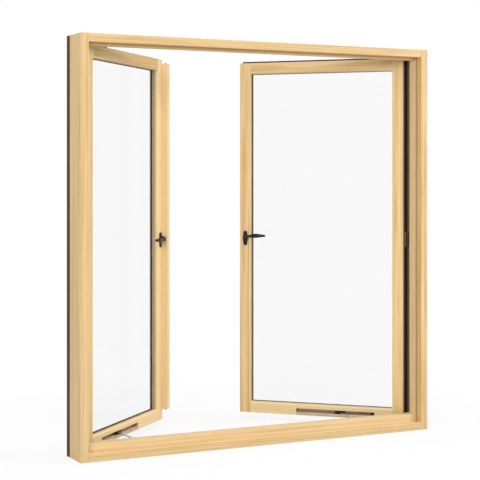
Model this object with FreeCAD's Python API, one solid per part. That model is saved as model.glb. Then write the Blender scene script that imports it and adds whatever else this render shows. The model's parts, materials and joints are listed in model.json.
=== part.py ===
import FreeCAD, Part
import math
import os

# French casement window: two side-hung sashes that push outwards from one wooden frame.
# Millimetres. X runs to the right seen from the room, Y towards the outside, Z up.
# The origin is the centre of the sill's underside. Both sashes are drawn open.

# Frame sizes
FRAME_WIDTH = 1450.0
FRAME_HEIGHT = 1500.0
FRAME_DEPTH = 146.0
FACE_WIDTH = 30.0
REVEAL_DEPTH = 27.0
POCKET_WALL = 14.0
EDGE_EASE = 1.5

# Stop strips that the closed sashes lie against
STOP_DEPTH = 43.0
STOP_STEP = 9.5
SILL_STOP_RISE = 30.0

# Metal cladding of the frame
CLAD_SHEET = 2.0
CLAD_RETURN = 32.0
CLAD_SETBACK = 5.0

# Gaps round a closed sash
STOP_GAP = 7.0
HINGE_EDGE_GAP = 10.0
SILL_EDGE_GAP = 7.0
HEAD_EDGE_GAP = 14.0
MEETING_GAP = 8.0

# Sash sizes
SASH_WOOD_DEPTH = 30.0
SASH_CLAD_DEPTH = 9.0
HINGE_STILE_WIDTH = 51.0
MEETING_STILE_WIDTH = 47.0
TOP_RAIL_HEIGHT = 45.0
BOTTOM_RAIL_HEIGHT = 46.0
HINGE_FLANGE_REACH = 3.0
HEAD_FLANGE_REACH = 9.0
FLANGE_DEPTH = 3.0
ROOM_SPLAY = 5.0
OUTSIDE_SPLAY = 6.0
LEFT_OPEN_DEGREES = 44.1
RIGHT_OPEN_DEGREES = 45.5

# Insulated glass
BEAD_DEPTH = 15.0
GLASS_COVER = 10.0
GLASS_EDGE_GAP = 2.0
PANE_THICKNESS = 4.0
SPACER_WIDTH = 8.0

# Astragal on the left sash, and the shoot bolts in its ends
ASTRAGAL_REACH = 28.0
ASTRAGAL_SEAT = 8.0
ASTRAGAL_LAP = 5.0
ASTRAGAL_SILL_GAP = 5.5
ASTRAGAL_HEAD_GAP = 8.0
ASTRAGAL_ROUND = 5.0
BOLT_RADIUS = 4.0
BOLT_REACH = 3.0

# Pivot hinges at the head and the sill
PIVOT_INBOARD = 9.0
PIVOT_INSET = 3.0
PIN_RADIUS = 4.0
PIN_FIT = 0.05
EYE_WALL = 3.0
SILL_LEAF_THICKNESS = 4.0
HEAD_LEAF_THICKNESS = 6.0
LEAF_LENGTH = 195.0
LEAF_WIDTH = 24.0
HINGE_PLATE_THICKNESS = 2.0
HINGE_PLATE_LENGTH = 210.0
HINGE_PLATE_WIDTH = 24.0
HINGE_PLATE_END_GAP = 1.0
PIN_END_GAP = 0.5
LEAF_NOTCH_GAP = 1.0

# Stay at the sill: an arm on a frame bracket, with a shoe that slides in a slot of the bottom rail
BRACKET_DISTANCE = 224.0
ARM_LENGTH = 194.0
ARM_WIDTH = 10.0
ARM_THICKNESS = 3.0
ARM_LINE_INSET = 7.0
SLOT_START = 124.0
SLOT_END = 451.0
SLOT_RISE = 12.0
SLOT_HEIGHT = 15.0
SLOT_DEPTH = 17.0
TRACK_THICKNESS = 2.0
TRACK_LIP = 2.0
TRACK_STOP_LENGTH = 14.0
TRACK_STOP_DEPTH = 6.0
ARM_RISE = 5.0
SHOE_LENGTH = 40.0
SHOE_WIDTH = 8.0
SHOE_HEIGHT = 5.0
SHOE_GAP = 0.3
STAY_PIN_RADIUS = 3.0
BRACKET_WIDTH = 36.0
BRACKET_SHEET = 2.0
BRACKET_HEIGHT = 16.0
TONGUE_WIDTH = 10.0
TONGUE_THICKNESS = 3.0
TONGUE_GAP = 0.5

# Snubber blocks half way up the hinge side of the frame
SNUBBER_HEIGHT = 60.0
SNUBBER_THICKNESS = 4.0
SNUBBER_LENGTH = 18.0
SNUBBER_SETBACK = 5.0

# Handles on the meeting stiles
HANDLE_EDGE = 24.5
PLATE_HEIGHT = 60.0
PLATE_WIDTH = 21.0
PLATE_THICKNESS = 4.0
PLATE_END_RADIUS = 7.5
PLATE_DROP = 4.5
SPINDLE_RADIUS = 4.0
BOSS_RADIUS = 8.0
BOSS_LENGTH = 11.0
BOSS_GAP = 0.3
LEVER_REACH = 90.0
RIGHT_LEVER_RISE = 6.0
LEFT_LEVER_RISE = -3.0
LEVER_THICKNESS = 10.0
NECK_WIDTH = 7.0
GRIP_WIDTH = 13.0
TIP_RADIUS = 3.0
NECK_REACH = 26.0
GRIP_REACH = 52.0

# How near two places have to be to count as one
SMALL = 0.01

# Places worked out from the sizes above
HALF_WIDTH = FRAME_WIDTH / 2
HALF_DEPTH = FRAME_DEPTH / 2
STOP_BACK = REVEAL_DEPTH + STOP_DEPTH
STOP_EDGE = FACE_WIDTH + STOP_STEP
SILL_STOP_TOP = FACE_WIDTH + SILL_STOP_RISE
LINING = POCKET_WALL + CLAD_SHEET
SASH_FRONT = STOP_BACK + STOP_GAP
GLASS_FRONT = SASH_FRONT + BEAD_DEPTH
SASH_WOOD_BACK = SASH_FRONT + SASH_WOOD_DEPTH
SASH_BACK = SASH_WOOD_BACK + SASH_CLAD_DEPTH
HINGE_EDGE = LINING + HINGE_EDGE_GAP
MEETING_EDGE = HALF_WIDTH - MEETING_GAP / 2
HEAD_LINING = FRAME_HEIGHT - LINING
HEAD_STOP_LOW = FRAME_HEIGHT - STOP_EDGE
SASH_BOTTOM = LINING + SILL_EDGE_GAP
SASH_TOP = HEAD_LINING - HEAD_EDGE_GAP
SIGHT_BOTTOM = SASH_BOTTOM + BOTTOM_RAIL_HEIGHT
SIGHT_TOP = SASH_TOP - TOP_RAIL_HEIGHT
SIGHT_HINGE = HINGE_EDGE + HINGE_STILE_WIDTH
SIGHT_MEETING = MEETING_EDGE - MEETING_STILE_WIDTH
RABBET = GLASS_COVER + GLASS_EDGE_GAP
PIVOT_SIDE = HINGE_EDGE + PIVOT_INBOARD
PIVOT_DEPTH = SASH_BACK - PIVOT_INSET
SLOT_FLOOR = SASH_BOTTOM + SLOT_RISE
ARM_BOTTOM = SLOT_FLOOR + ARM_RISE
ARM_TOP = ARM_BOTTOM + ARM_THICKNESS
ARM_LINE = SASH_FRONT + ARM_LINE_INSET
ASTRAGAL_LOW = SILL_STOP_TOP + ASTRAGAL_SILL_GAP
ASTRAGAL_HIGH = HEAD_STOP_LOW - ASTRAGAL_HEAD_GAP
HANDLE_SIDE = MEETING_EDGE - HANDLE_EDGE
HANDLE_HEIGHT = FRAME_HEIGHT / 2

UP = FreeCAD.Vector(0, 0, 1)
ALONG_X = FreeCAD.Vector(1, 0, 0)
ALONG_Y = FreeCAD.Vector(0, 1, 0)


def point(side, depth, height):
    """A point given from the frame's left edge, from its room face and from its underside."""
    return FreeCAD.Vector(side - HALF_WIDTH, depth - HALF_DEPTH, height)


def block(sides, depths, heights):
    """A box between two sides, two depths and two heights."""
    corner = point(sides[0], depths[0], heights[0])
    return Part.makeBox(sides[1] - sides[0], depths[1] - depths[0], heights[1] - heights[0], corner)


def rod(side, depth, low, high, radius):
    """An upright cylinder."""
    return Part.makeCylinder(radius, high - low, point(side, depth, low), UP)


def mirrored(shape):
    """The same shape on the right of the window."""
    return shape.mirror(FreeCAD.Vector(0, 0, 0), ALONG_X)


def flipped(shape):
    """The same shape at the head instead of the sill."""
    return shape.mirror(FreeCAD.Vector(0, 0, FRAME_HEIGHT / 2), UP)


def eased(shape, size, wanted):
    """Chamfer the edges that the test picks out."""
    edges = [edge for edge in shape.Edges if wanted(edge)]
    return shape.makeChamfer(size, edges)


def on_side(shape, side):
    """A left-hand shape put on the named side."""
    return shape if side == "left" else mirrored(shape)


def open_degrees(side):
    """How far the sash on the named side is drawn open."""
    return LEFT_OPEN_DEGREES if side == "left" else RIGHT_OPEN_DEGREES


def opened(shape, side):
    """A part of a closed left sash, put on the named side and swung open."""
    placed = on_side(shape, side).copy()
    pivot = point(PIVOT_SIDE, PIVOT_DEPTH, 0)
    turn = open_degrees(side)
    if side == "right":
        pivot.x = -pivot.x
        turn = -turn
    placed.rotate(pivot, UP, turn)
    return placed


def runs_along(edge, direction, depth):
    """True for a straight edge at one depth that runs in the given direction."""
    first, last = [vertex.Point for vertex in edge.Vertexes]
    at_depth = abs(first.y + HALF_DEPTH - depth) < SMALL
    return at_depth and (last - first).cross(direction).Length < SMALL


def jamb():
    """The left jamb: thick round the reveal, thin in the sash pocket, slimmer again under the cladding."""
    tall = (0, FRAME_HEIGHT)
    nose_front = FRAME_DEPTH - CLAD_RETURN
    face = block((0, FACE_WIDTH), (0, REVEAL_DEPTH), tall)
    wall = block((0, POCKET_WALL), (REVEAL_DEPTH, nose_front), tall)
    nose_heights = (CLAD_SHEET, FRAME_HEIGHT - CLAD_SHEET)
    nose = block((CLAD_SHEET, POCKET_WALL), (nose_front, FRAME_DEPTH - CLAD_SHEET), nose_heights)
    whole = face.fuse([wall, nose]).removeSplitter()
    return eased(whole, EDGE_EASE, lambda edge: runs_along(edge, UP, 0))


def sill():
    """The sill, between the jambs, with the jamb's section laid flat."""
    nose_front = FRAME_DEPTH - CLAD_RETURN
    face = block((FACE_WIDTH, FRAME_WIDTH - FACE_WIDTH), (0, REVEAL_DEPTH), (0, FACE_WIDTH))
    between = (POCKET_WALL, FRAME_WIDTH - POCKET_WALL)
    wall = block(between, (REVEAL_DEPTH, nose_front), (0, POCKET_WALL))
    nose = block(between, (nose_front, FRAME_DEPTH - CLAD_SHEET), (CLAD_SHEET, POCKET_WALL))
    whole = face.fuse([wall, nose]).removeSplitter()
    return eased(whole, EDGE_EASE, lambda edge: runs_along(edge, ALONG_X, 0))


def jamb_stop():
    """The left stop strip, from the sill up to the head."""
    heights = (POCKET_WALL, FRAME_HEIGHT - POCKET_WALL)
    return block((POCKET_WALL, STOP_EDGE), (REVEAL_DEPTH, STOP_BACK), heights)


def cross_stop(low, high):
    """A stop strip that runs from one jamb's stop to the other."""
    return block((STOP_EDGE, FRAME_WIDTH - STOP_EDGE), (REVEAL_DEPTH, STOP_BACK), (low, high))


def ring(inset, thickness, depths):
    """A rectangular ring, its outside set in from the frame's outside, with walls of one thickness."""
    inner = inset + thickness
    outside = block((inset, FRAME_WIDTH - inset), depths, (inset, FRAME_HEIGHT - inset))
    inside = block((inner, FRAME_WIDTH - inner), depths, (inner, FRAME_HEIGHT - inner))
    return outside.cut(inside)


def frame_cladding():
    """The whole metal cover: a skirt round the outside, a face, and a lining of the sash pocket."""
    skirt = ring(0, CLAD_SHEET, (FRAME_DEPTH - CLAD_RETURN, FRAME_DEPTH))
    face = ring(0, LINING, (FRAME_DEPTH - CLAD_SHEET, FRAME_DEPTH))
    lining = ring(POCKET_WALL, CLAD_SHEET, (STOP_BACK + CLAD_SETBACK, FRAME_DEPTH))
    return skirt.fuse([face, lining]).removeSplitter()


def mitre_wedge():
    """The space that holds the left side of the cladding, cut at 45 degrees at its ends."""
    reach = LINING
    corners = [(0, 0), (reach, reach), (reach, FRAME_HEIGHT - reach), (0, FRAME_HEIGHT), (0, 0)]
    outline = Part.makePolygon([point(side, 0, height) for side, height in corners])
    return Part.Face(outline).extrude(ALONG_Y * FRAME_DEPTH)


def sight_corners(depth, spread):
    """The corners of the glass opening at one depth, spread outwards past the sight lines."""
    sides = (SIGHT_HINGE - spread, SIGHT_MEETING + spread)
    heights = (SIGHT_BOTTOM - spread, SIGHT_TOP + spread)
    around = ((0, 0), (1, 0), (1, 1), (0, 1))
    return [point(sides[across], depth, heights[up]) for across, up in around]


def splay(face_depth, inner_depth, spread):
    """The space that widens the glass opening from a depth inside the sash to one of its faces."""
    narrow = sight_corners(inner_depth, 0)
    wide = sight_corners(face_depth, spread)
    outlines = [narrow, wide]
    for index in range(4):
        following = (index + 1) % 4
        outlines.append([narrow[index], narrow[following], wide[following], wide[index]])
    faces = [Part.Face(Part.makePolygon(corners + corners[:1])) for corners in outlines]
    return Part.Solid(Part.Shell(faces))


def room_splay():
    """The splay on the room side of the sash."""
    return splay(SASH_FRONT, SASH_FRONT + ROOM_SPLAY, ROOM_SPLAY)


def sash_stile(outer, inner):
    """A stile from the sash's edge to the sight line, with a rabbet behind for the glass."""
    toward = 1 if inner > outer else -1
    front = block(sorted((outer, inner)), (SASH_FRONT, GLASS_FRONT), (SASH_BOTTOM, SASH_TOP))
    back_edge = inner - toward * RABBET
    back = block(sorted((outer, back_edge)), (GLASS_FRONT, SASH_WOOD_BACK), (SASH_BOTTOM, SASH_TOP))
    return front.fuse(back).removeSplitter().cut(room_splay())


def sash_rail(outer, inner):
    """A rail between the stiles, with the same rabbet."""
    toward = 1 if inner > outer else -1
    front = block((SIGHT_HINGE, SIGHT_MEETING), (SASH_FRONT, GLASS_FRONT), sorted((outer, inner)))
    back_edge = inner - toward * RABBET
    between = (SIGHT_HINGE - RABBET, SIGHT_MEETING + RABBET)
    back = block(between, (GLASS_FRONT, SASH_WOOD_BACK), sorted((outer, back_edge)))
    return front.fuse(back).removeSplitter().cut(room_splay())


def bottom_rail():
    """The bottom rail, with the slot that the stay's shoe slides in."""
    slot_sides = (HINGE_EDGE + SLOT_START, HINGE_EDGE + SLOT_END)
    slot_depths = (SASH_FRONT, SASH_FRONT + SLOT_DEPTH)
    slot = block(slot_sides, slot_depths, (SLOT_FLOOR, SLOT_FLOOR + SLOT_HEIGHT))
    return sash_rail(SASH_BOTTOM, SIGHT_BOTTOM).cut(slot)


def glass_sides(cover):
    """The sides of a pane that runs behind the sight line by the given cover."""
    return SIGHT_HINGE - cover, SIGHT_MEETING + cover


def glass_heights(cover):
    """The heights of a pane that runs behind the sight line by the given cover."""
    return SIGHT_BOTTOM - cover, SIGHT_TOP + cover


def glass_panes():
    """The two panes of the sealed unit."""
    fronts = (GLASS_FRONT, SASH_WOOD_BACK - PANE_THICKNESS)
    sides = glass_sides(GLASS_COVER)
    heights = glass_heights(GLASS_COVER)
    return Part.makeCompound([block(sides, (front, front + PANE_THICKNESS), heights) for front in fronts])


def glass_spacer():
    """The bar round the edge that keeps the two panes apart."""
    depths = (GLASS_FRONT + PANE_THICKNESS, SASH_WOOD_BACK - PANE_THICKNESS)
    inner_cover = GLASS_COVER - SPACER_WIDTH
    outside = block(glass_sides(GLASS_COVER), depths, glass_heights(GLASS_COVER))
    return outside.cut(block(glass_sides(inner_cover), depths, glass_heights(inner_cover)))


def layer(start, thickness, toward):
    """The heights of a flat piece that starts at one height and goes up (1) or down (-1)."""
    return sorted((start, start + toward * thickness))


def sash_cladding():
    """The metal cover outside a sash, with a flange past two edges and a notch for the top hinge leaf."""
    depths = (SASH_WOOD_BACK, SASH_BACK)
    flange_depths = (SASH_BACK - FLANGE_DEPTH, SASH_BACK)
    body = block((HINGE_EDGE, MEETING_EDGE), depths, (SASH_BOTTOM, SASH_TOP))
    flange_heights = (SASH_BOTTOM, SASH_TOP + HEAD_FLANGE_REACH)
    flange = block((HINGE_EDGE - HINGE_FLANGE_REACH, MEETING_EDGE), flange_depths, flange_heights)
    light = block((SIGHT_HINGE, SIGHT_MEETING), depths, (SIGHT_BOTTOM, SIGHT_TOP))
    outside_splay = splay(SASH_BACK, SASH_BACK - OUTSIDE_SPLAY, OUTSIDE_SPLAY)
    cover = body.fuse(flange).removeSplitter().cut([light, outside_splay])
    eye = PIN_RADIUS + PIN_FIT + EYE_WALL + LEAF_NOTCH_GAP
    notch_sides = (HINGE_EDGE - HINGE_FLANGE_REACH, HINGE_EDGE + LEAF_LENGTH + LEAF_NOTCH_GAP)
    notch_heights = (SASH_TOP, SASH_TOP + HEAD_FLANGE_REACH)
    return cover.cut(block(notch_sides, (SASH_FRONT, PIVOT_DEPTH + eye), notch_heights))


def astragal():
    """The strip on the left sash's meeting stile, which laps over the right sash when both are shut."""
    heights = (ASTRAGAL_LOW, ASTRAGAL_HIGH)
    front = SASH_FRONT - ASTRAGAL_REACH
    lap_edge = HALF_WIDTH + MEETING_GAP / 2 + ASTRAGAL_LAP
    bar = block((MEETING_EDGE - ASTRAGAL_SEAT, lap_edge), (front, STOP_BACK), heights)
    seat = block((MEETING_EDGE - ASTRAGAL_SEAT, MEETING_EDGE), (STOP_BACK, SASH_FRONT), heights)
    nose = [edge for edge in bar.Edges if runs_along(edge, UP, front)]
    return bar.makeFillet(ASTRAGAL_ROUND, nose).fuse(seat).removeSplitter()


def shoot_bolts():
    """The bolt ends that stand out of both ends of the astragal."""
    depth = SASH_FRONT - ASTRAGAL_REACH / 2
    ends = ((ASTRAGAL_LOW - BOLT_REACH, ASTRAGAL_LOW), (ASTRAGAL_HIGH, ASTRAGAL_HIGH + BOLT_REACH))
    return Part.makeCompound([rod(MEETING_EDGE, depth, low, high, BOLT_RADIUS) for low, high in ends])


def hinge_plate(base, sash_edge, toward):
    """The plate on the pocket lining and its pivot pin, which point up (1) or down (-1) to the sash."""
    start = LINING + HINGE_PLATE_END_GAP
    depths = (PIVOT_DEPTH - HINGE_PLATE_WIDTH / 2, PIVOT_DEPTH + HINGE_PLATE_WIDTH / 2)
    plate = block((start, start + HINGE_PLATE_LENGTH), depths, layer(base, HINGE_PLATE_THICKNESS, toward))
    low, high = sorted((base, sash_edge - toward * PIN_END_GAP))
    pin = rod(PIVOT_SIDE, PIVOT_DEPTH, low, high, PIN_RADIUS)
    return plate.fuse(pin).removeSplitter()


def hinge_plates():
    """The plates at the sill and at the head."""
    at_sill = hinge_plate(LINING, SASH_BOTTOM, 1)
    at_head = hinge_plate(HEAD_LINING, SASH_TOP, -1)
    return Part.makeCompound([at_sill, at_head])


def hinge_leaf(sash_edge, thickness, away):
    """The leaf on the sash's hinge corner, with the eye that turns on the pin."""
    low, high = layer(sash_edge, thickness, away)
    eye = rod(PIVOT_SIDE, PIVOT_DEPTH, low, high, PIN_RADIUS + PIN_FIT + EYE_WALL)
    back = PIVOT_DEPTH
    strap = block((PIVOT_SIDE, HINGE_EDGE + LEAF_LENGTH), (back - LEAF_WIDTH, back), (low, high))
    hole = rod(PIVOT_SIDE, PIVOT_DEPTH, low, high, PIN_RADIUS + PIN_FIT)
    return strap.fuse(eye).cut(hole).removeSplitter()


def hinge_leaves():
    """The leaves under and over the sash."""
    at_sill = hinge_leaf(SASH_BOTTOM, SILL_LEAF_THICKNESS, -1)
    at_head = hinge_leaf(SASH_TOP, HEAD_LEAF_THICKNESS, 1)
    return Part.makeCompound([at_sill, at_head])


def snubber():
    """The block on the jamb's pocket lining that steadies the sash's hinge edge."""
    back = PIVOT_DEPTH - SNUBBER_SETBACK
    middle = FRAME_HEIGHT / 2
    heights = (middle - SNUBBER_HEIGHT / 2, middle + SNUBBER_HEIGHT / 2)
    return block((LINING, LINING + SNUBBER_THICKNESS), (back - SNUBBER_LENGTH, back), heights)


def arm_turn(angle):
    """How far the stay arm has turned, in degrees, when its sash has opened by the angle."""
    line_offset = PIVOT_DEPTH - ARM_LINE
    swing = math.radians(angle)
    rise = BRACKET_DISTANCE * math.sin(swing) - line_offset * (1 - math.cos(swing))
    return angle + math.degrees(math.asin(rise / ARM_LENGTH))


def stay_bracket():
    """The bracket on the back of the sill stop, with the pin that the arm turns on."""
    side = PIVOT_SIDE + BRACKET_DISTANCE
    tongue_top = ARM_BOTTOM - TONGUE_GAP
    tongue_low = tongue_top - TONGUE_THICKNESS
    sheet_heights = (tongue_low - BRACKET_HEIGHT / 2, tongue_low + BRACKET_HEIGHT / 2)
    sheet_sides = (side - BRACKET_WIDTH / 2, side + BRACKET_WIDTH / 2)
    sheet = block(sheet_sides, (STOP_BACK, STOP_BACK + BRACKET_SHEET), sheet_heights)
    tongue_sides = (side - TONGUE_WIDTH / 2, side + TONGUE_WIDTH / 2)
    tongue = block(tongue_sides, (STOP_BACK + BRACKET_SHEET, ARM_LINE), (tongue_low, tongue_top))
    tip = rod(side, ARM_LINE, tongue_low, tongue_top, TONGUE_WIDTH / 2)
    pin = rod(side, ARM_LINE, tongue_low, ARM_TOP, STAY_PIN_RADIUS)
    return sheet.fuse([tongue, tip, pin]).removeSplitter()


def stay_arm():
    """The arm, drawn along the shut sash from its bracket pin to its shoe pin."""
    start = PIVOT_SIDE + BRACKET_DISTANCE
    end = start + ARM_LENGTH
    half = ARM_WIDTH / 2
    heights = (ARM_BOTTOM, ARM_TOP)
    bar = block((start, end), (ARM_LINE - half, ARM_LINE + half), heights)
    ends = [rod(side, ARM_LINE, ARM_BOTTOM, ARM_TOP, half) for side in (start, end)]
    holes = [rod(side, ARM_LINE, ARM_BOTTOM, ARM_TOP, STAY_PIN_RADIUS + PIN_FIT) for side in (start, end)]
    return bar.fuse(ends).removeSplitter().cut(holes)


def stay_shoe():
    """The sliding shoe over the arm's end, with its pin."""
    side = PIVOT_SIDE + BRACKET_DISTANCE + ARM_LENGTH
    low = ARM_TOP + SHOE_GAP
    heights = (low, low + SHOE_HEIGHT)
    straight = SHOE_LENGTH / 2 - SHOE_WIDTH / 2
    half = SHOE_WIDTH / 2
    body = block((side - straight, side + straight), (ARM_LINE - half, ARM_LINE + half), heights)
    ends = [rod(side + step, ARM_LINE, heights[0], heights[1], half) for step in (-straight, straight)]
    pin = rod(side, ARM_LINE, ARM_BOTTOM, heights[1], STAY_PIN_RADIUS)
    return body.fuse(ends + [pin]).removeSplitter()


def stay_track():
    """The steel bar at the back of the slot, with an end stop on the hinge side."""
    sides = (HINGE_EDGE + SLOT_START, HINGE_EDGE + SLOT_END)
    back = SASH_FRONT + SLOT_DEPTH
    heights = (SLOT_FLOOR, SLOT_FLOOR + SLOT_HEIGHT)
    bar = block(sides, (back - TRACK_THICKNESS, back), heights)
    lip_depths = (back - TRACK_THICKNESS - TRACK_LIP, back - TRACK_THICKNESS)
    lip = block(sides, lip_depths, (heights[1] - TRACK_LIP, heights[1]))
    stop_depths = (back - TRACK_THICKNESS - TRACK_STOP_DEPTH, back - TRACK_THICKNESS)
    stop = block((sides[0], sides[0] + TRACK_STOP_LENGTH), stop_depths, heights)
    return bar.fuse([lip, stop]).removeSplitter()


def arm_at_rest(shape, side):
    """The stay arm, drawn shut, turned to where the open sash has it."""
    placed = on_side(shape, side).copy()
    pin = point(PIVOT_SIDE + BRACKET_DISTANCE, ARM_LINE, 0)
    turn = arm_turn(open_degrees(side))
    if side == "right":
        pin.x = -pin.x
        turn = -turn
    placed.rotate(pin, UP, turn)
    return placed


def shoe_at_rest(shape, side):
    """The shoe carried round by the arm and turned back into line with the open sash."""
    placed = arm_at_rest(shape, side)
    turn = arm_turn(open_degrees(side))
    turn_back = open_degrees(side) - turn
    angle = math.radians(turn)
    pin = point(PIVOT_SIDE + BRACKET_DISTANCE, ARM_LINE, 0)
    pin = pin + FreeCAD.Vector(math.cos(angle), math.sin(angle), 0) * ARM_LENGTH
    if side == "right":
        pin.x = -pin.x
        turn_back = -turn_back
    placed.rotate(pin, UP, turn_back)
    return placed


def across(depth_front, depth_back, radius):
    """A cylinder on the handle's axis, which runs through the sash."""
    start = point(HANDLE_SIDE, depth_front, HANDLE_HEIGHT)
    return Part.makeCylinder(radius, depth_back - depth_front, start, ALONG_Y)


def rounded_bar(centres, radii, depth_front, depth_back):
    """A flat bar whose ends are round and whose sides run straight from one end circle to the next."""
    thickness = depth_back - depth_front
    middles = [point(side, depth_front, height) for side, height in centres]
    pairs = zip(middles, radii)
    pieces = [Part.makeCylinder(radius, thickness, middle, ALONG_Y) for middle, radius in pairs]
    for index in range(len(middles) - 1):
        near, far = middles[index:index + 2]
        square = (far - near).cross(ALONG_Y).normalize()
        near_half, far_half = [square * radius for radius in radii[index:index + 2]]
        corners = [near + near_half, far + far_half, far - far_half, near - near_half]
        outline = Part.makePolygon(corners + corners[:1])
        pieces.append(Part.Face(outline).extrude(ALONG_Y * thickness))
    return pieces[0].fuse(pieces[1:]).removeSplitter()


def handle_plate():
    """The back plate on the stile, with round ends, a wide middle and a hole above it for the spindle."""
    front = SASH_FRONT - PLATE_THICKNESS
    middle = HANDLE_HEIGHT - PLATE_DROP
    reach = PLATE_HEIGHT / 2 - PLATE_END_RADIUS
    centres = [(HANDLE_SIDE, middle + step) for step in (-reach, 0, reach)]
    plate = rounded_bar(centres, (PLATE_END_RADIUS, PLATE_WIDTH / 2, PLATE_END_RADIUS), front, SASH_FRONT)
    return plate.cut(across(front, SASH_FRONT, SPINDLE_RADIUS + PIN_FIT))


def handle_lever(rise):
    """The lever: spindle, boss, narrow neck and swelling grip that points to the hinge side."""
    plate_front = SASH_FRONT - PLATE_THICKNESS
    boss_back = plate_front - BOSS_GAP
    boss_front = boss_back - BOSS_LENGTH
    spindle = across(boss_front, SASH_FRONT, SPINDLE_RADIUS)
    boss = across(boss_front, boss_back, BOSS_RADIUS)
    places = ((0, 0), (NECK_REACH, rise), (GRIP_REACH, rise), (LEVER_REACH - TIP_RADIUS, rise))
    centres = [(HANDLE_SIDE - reach, HANDLE_HEIGHT + step) for reach, step in places]
    radii = (BOSS_RADIUS, NECK_WIDTH / 2, GRIP_WIDTH / 2, TIP_RADIUS)
    grip = rounded_bar(centres, radii, boss_front - LEVER_THICKNESS, boss_front)
    return grip.fuse([boss, spindle]).removeSplitter()


def frame_parts():
    """The pieces that stay with the wall."""
    left_jamb = jamb()
    low_sill = sill()
    left_stop = jamb_stop()
    cover = frame_cladding()
    wedge = mitre_wedge()
    left_cover = cover.common(wedge)
    upright_wedges = [wedge, mirrored(wedge)]
    flat_covers = cover.cut(upright_wedges).Solids
    sill_cover = min(flat_covers, key=lambda solid: solid.CenterOfMass.z)
    head_cover = max(flat_covers, key=lambda solid: solid.CenterOfMass.z)
    plates = hinge_plates()
    block_pair = [snubber(), mirrored(snubber())]
    return {
        "left_jamb": left_jamb,
        "right_jamb": mirrored(left_jamb),
        "head": flipped(low_sill),
        "sill": low_sill,
        "left_stop": left_stop,
        "right_stop": mirrored(left_stop),
        "head_stop": cross_stop(HEAD_STOP_LOW, FRAME_HEIGHT - POCKET_WALL),
        "sill_stop": cross_stop(POCKET_WALL, SILL_STOP_TOP),
        "left_frame_cladding": left_cover,
        "right_frame_cladding": mirrored(left_cover),
        "head_frame_cladding": head_cover,
        "sill_frame_cladding": sill_cover,
        "left_hinge_plates": plates,
        "right_hinge_plates": mirrored(plates),
        "hinge_snubbers": Part.makeCompound(block_pair),
        "left_stay_bracket": stay_bracket(),
        "right_stay_bracket": mirrored(stay_bracket()),
    }


def sash_parts(side):
    """The pieces of one sash, swung open, with its stay and handle."""
    lever_rise = RIGHT_LEVER_RISE if side == "right" else LEFT_LEVER_RISE
    closed = {
        "hinge_stile": sash_stile(HINGE_EDGE, SIGHT_HINGE),
        "meeting_stile": sash_stile(MEETING_EDGE, SIGHT_MEETING),
        "top_rail": sash_rail(SASH_TOP, SIGHT_TOP),
        "bottom_rail": bottom_rail(),
        "glass": glass_panes(),
        "glass_spacer": glass_spacer(),
        "sash_cladding": sash_cladding(),
        "hinge_leaves": hinge_leaves(),
        "stay_track": stay_track(),
        "handle_plate": handle_plate(),
        "handle_lever": handle_lever(lever_rise),
    }
    parts = {f"{side}_{name}": opened(shape, side) for name, shape in closed.items()}
    parts[f"{side}_stay_arm"] = arm_at_rest(stay_arm(), side)
    parts[f"{side}_stay_shoe"] = shoe_at_rest(stay_shoe(), side)
    return parts


def main():
    """Build every piece and write each to its own file."""
    parts = frame_parts()
    for side in ("left", "right"):
        parts.update(sash_parts(side))
    parts["astragal"] = opened(astragal(), "left")
    parts["shoot_bolts"] = opened(shoot_bolts(), "left")
    os.makedirs("parts", exist_ok=True)
    for name, shape in parts.items():
        shape.exportStep(f"parts/{name}.step")


main()
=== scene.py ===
"""Push-out French casement window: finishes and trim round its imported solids.

Trim on a sash is laid out on the left-hand sash as it stands when shut, and SashSpace carries it
to where each side's sash stands at rest. Every size is in metres.
"""
import json
import logging
import math
import random
from dataclasses import dataclass, field
from enum import Enum
from typing import Any, Sequence

import bmesh
import bpy
from mathutils import Matrix, Vector


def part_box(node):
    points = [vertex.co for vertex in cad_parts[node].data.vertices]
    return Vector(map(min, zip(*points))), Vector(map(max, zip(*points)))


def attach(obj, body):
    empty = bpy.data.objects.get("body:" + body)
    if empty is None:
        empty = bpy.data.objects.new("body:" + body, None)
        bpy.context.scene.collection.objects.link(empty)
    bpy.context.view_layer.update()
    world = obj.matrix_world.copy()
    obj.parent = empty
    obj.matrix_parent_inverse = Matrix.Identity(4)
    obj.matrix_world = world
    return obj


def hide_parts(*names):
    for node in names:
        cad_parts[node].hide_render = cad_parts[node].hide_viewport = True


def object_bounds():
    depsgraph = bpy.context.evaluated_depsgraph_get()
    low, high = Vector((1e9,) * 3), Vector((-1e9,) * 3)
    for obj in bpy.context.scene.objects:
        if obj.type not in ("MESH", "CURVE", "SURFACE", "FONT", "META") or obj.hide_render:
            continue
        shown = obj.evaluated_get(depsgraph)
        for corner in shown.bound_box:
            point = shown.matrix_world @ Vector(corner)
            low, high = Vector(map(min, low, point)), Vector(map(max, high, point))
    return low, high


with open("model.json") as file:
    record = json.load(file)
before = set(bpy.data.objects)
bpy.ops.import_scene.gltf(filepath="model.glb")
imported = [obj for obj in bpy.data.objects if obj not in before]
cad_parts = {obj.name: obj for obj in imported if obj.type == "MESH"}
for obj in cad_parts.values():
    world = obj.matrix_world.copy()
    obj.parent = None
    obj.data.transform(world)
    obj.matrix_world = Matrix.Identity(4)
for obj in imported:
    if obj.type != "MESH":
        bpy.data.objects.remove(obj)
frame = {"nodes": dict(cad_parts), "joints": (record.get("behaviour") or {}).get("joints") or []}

CAD_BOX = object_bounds()
LOG = logging.getLogger("casement_window")
WELD = 1e-5
MERGE = 1e-7
FLAT_ANGLE = math.radians(0.8)
EASED_ANGLE = math.radians(30.0)
SHARP_ANGLE = math.radians(35.0)
POCKET_FACING = 0.6
NOISE_ROUGHNESS = 0.55
Colour = tuple[float, float, float, float]


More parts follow.
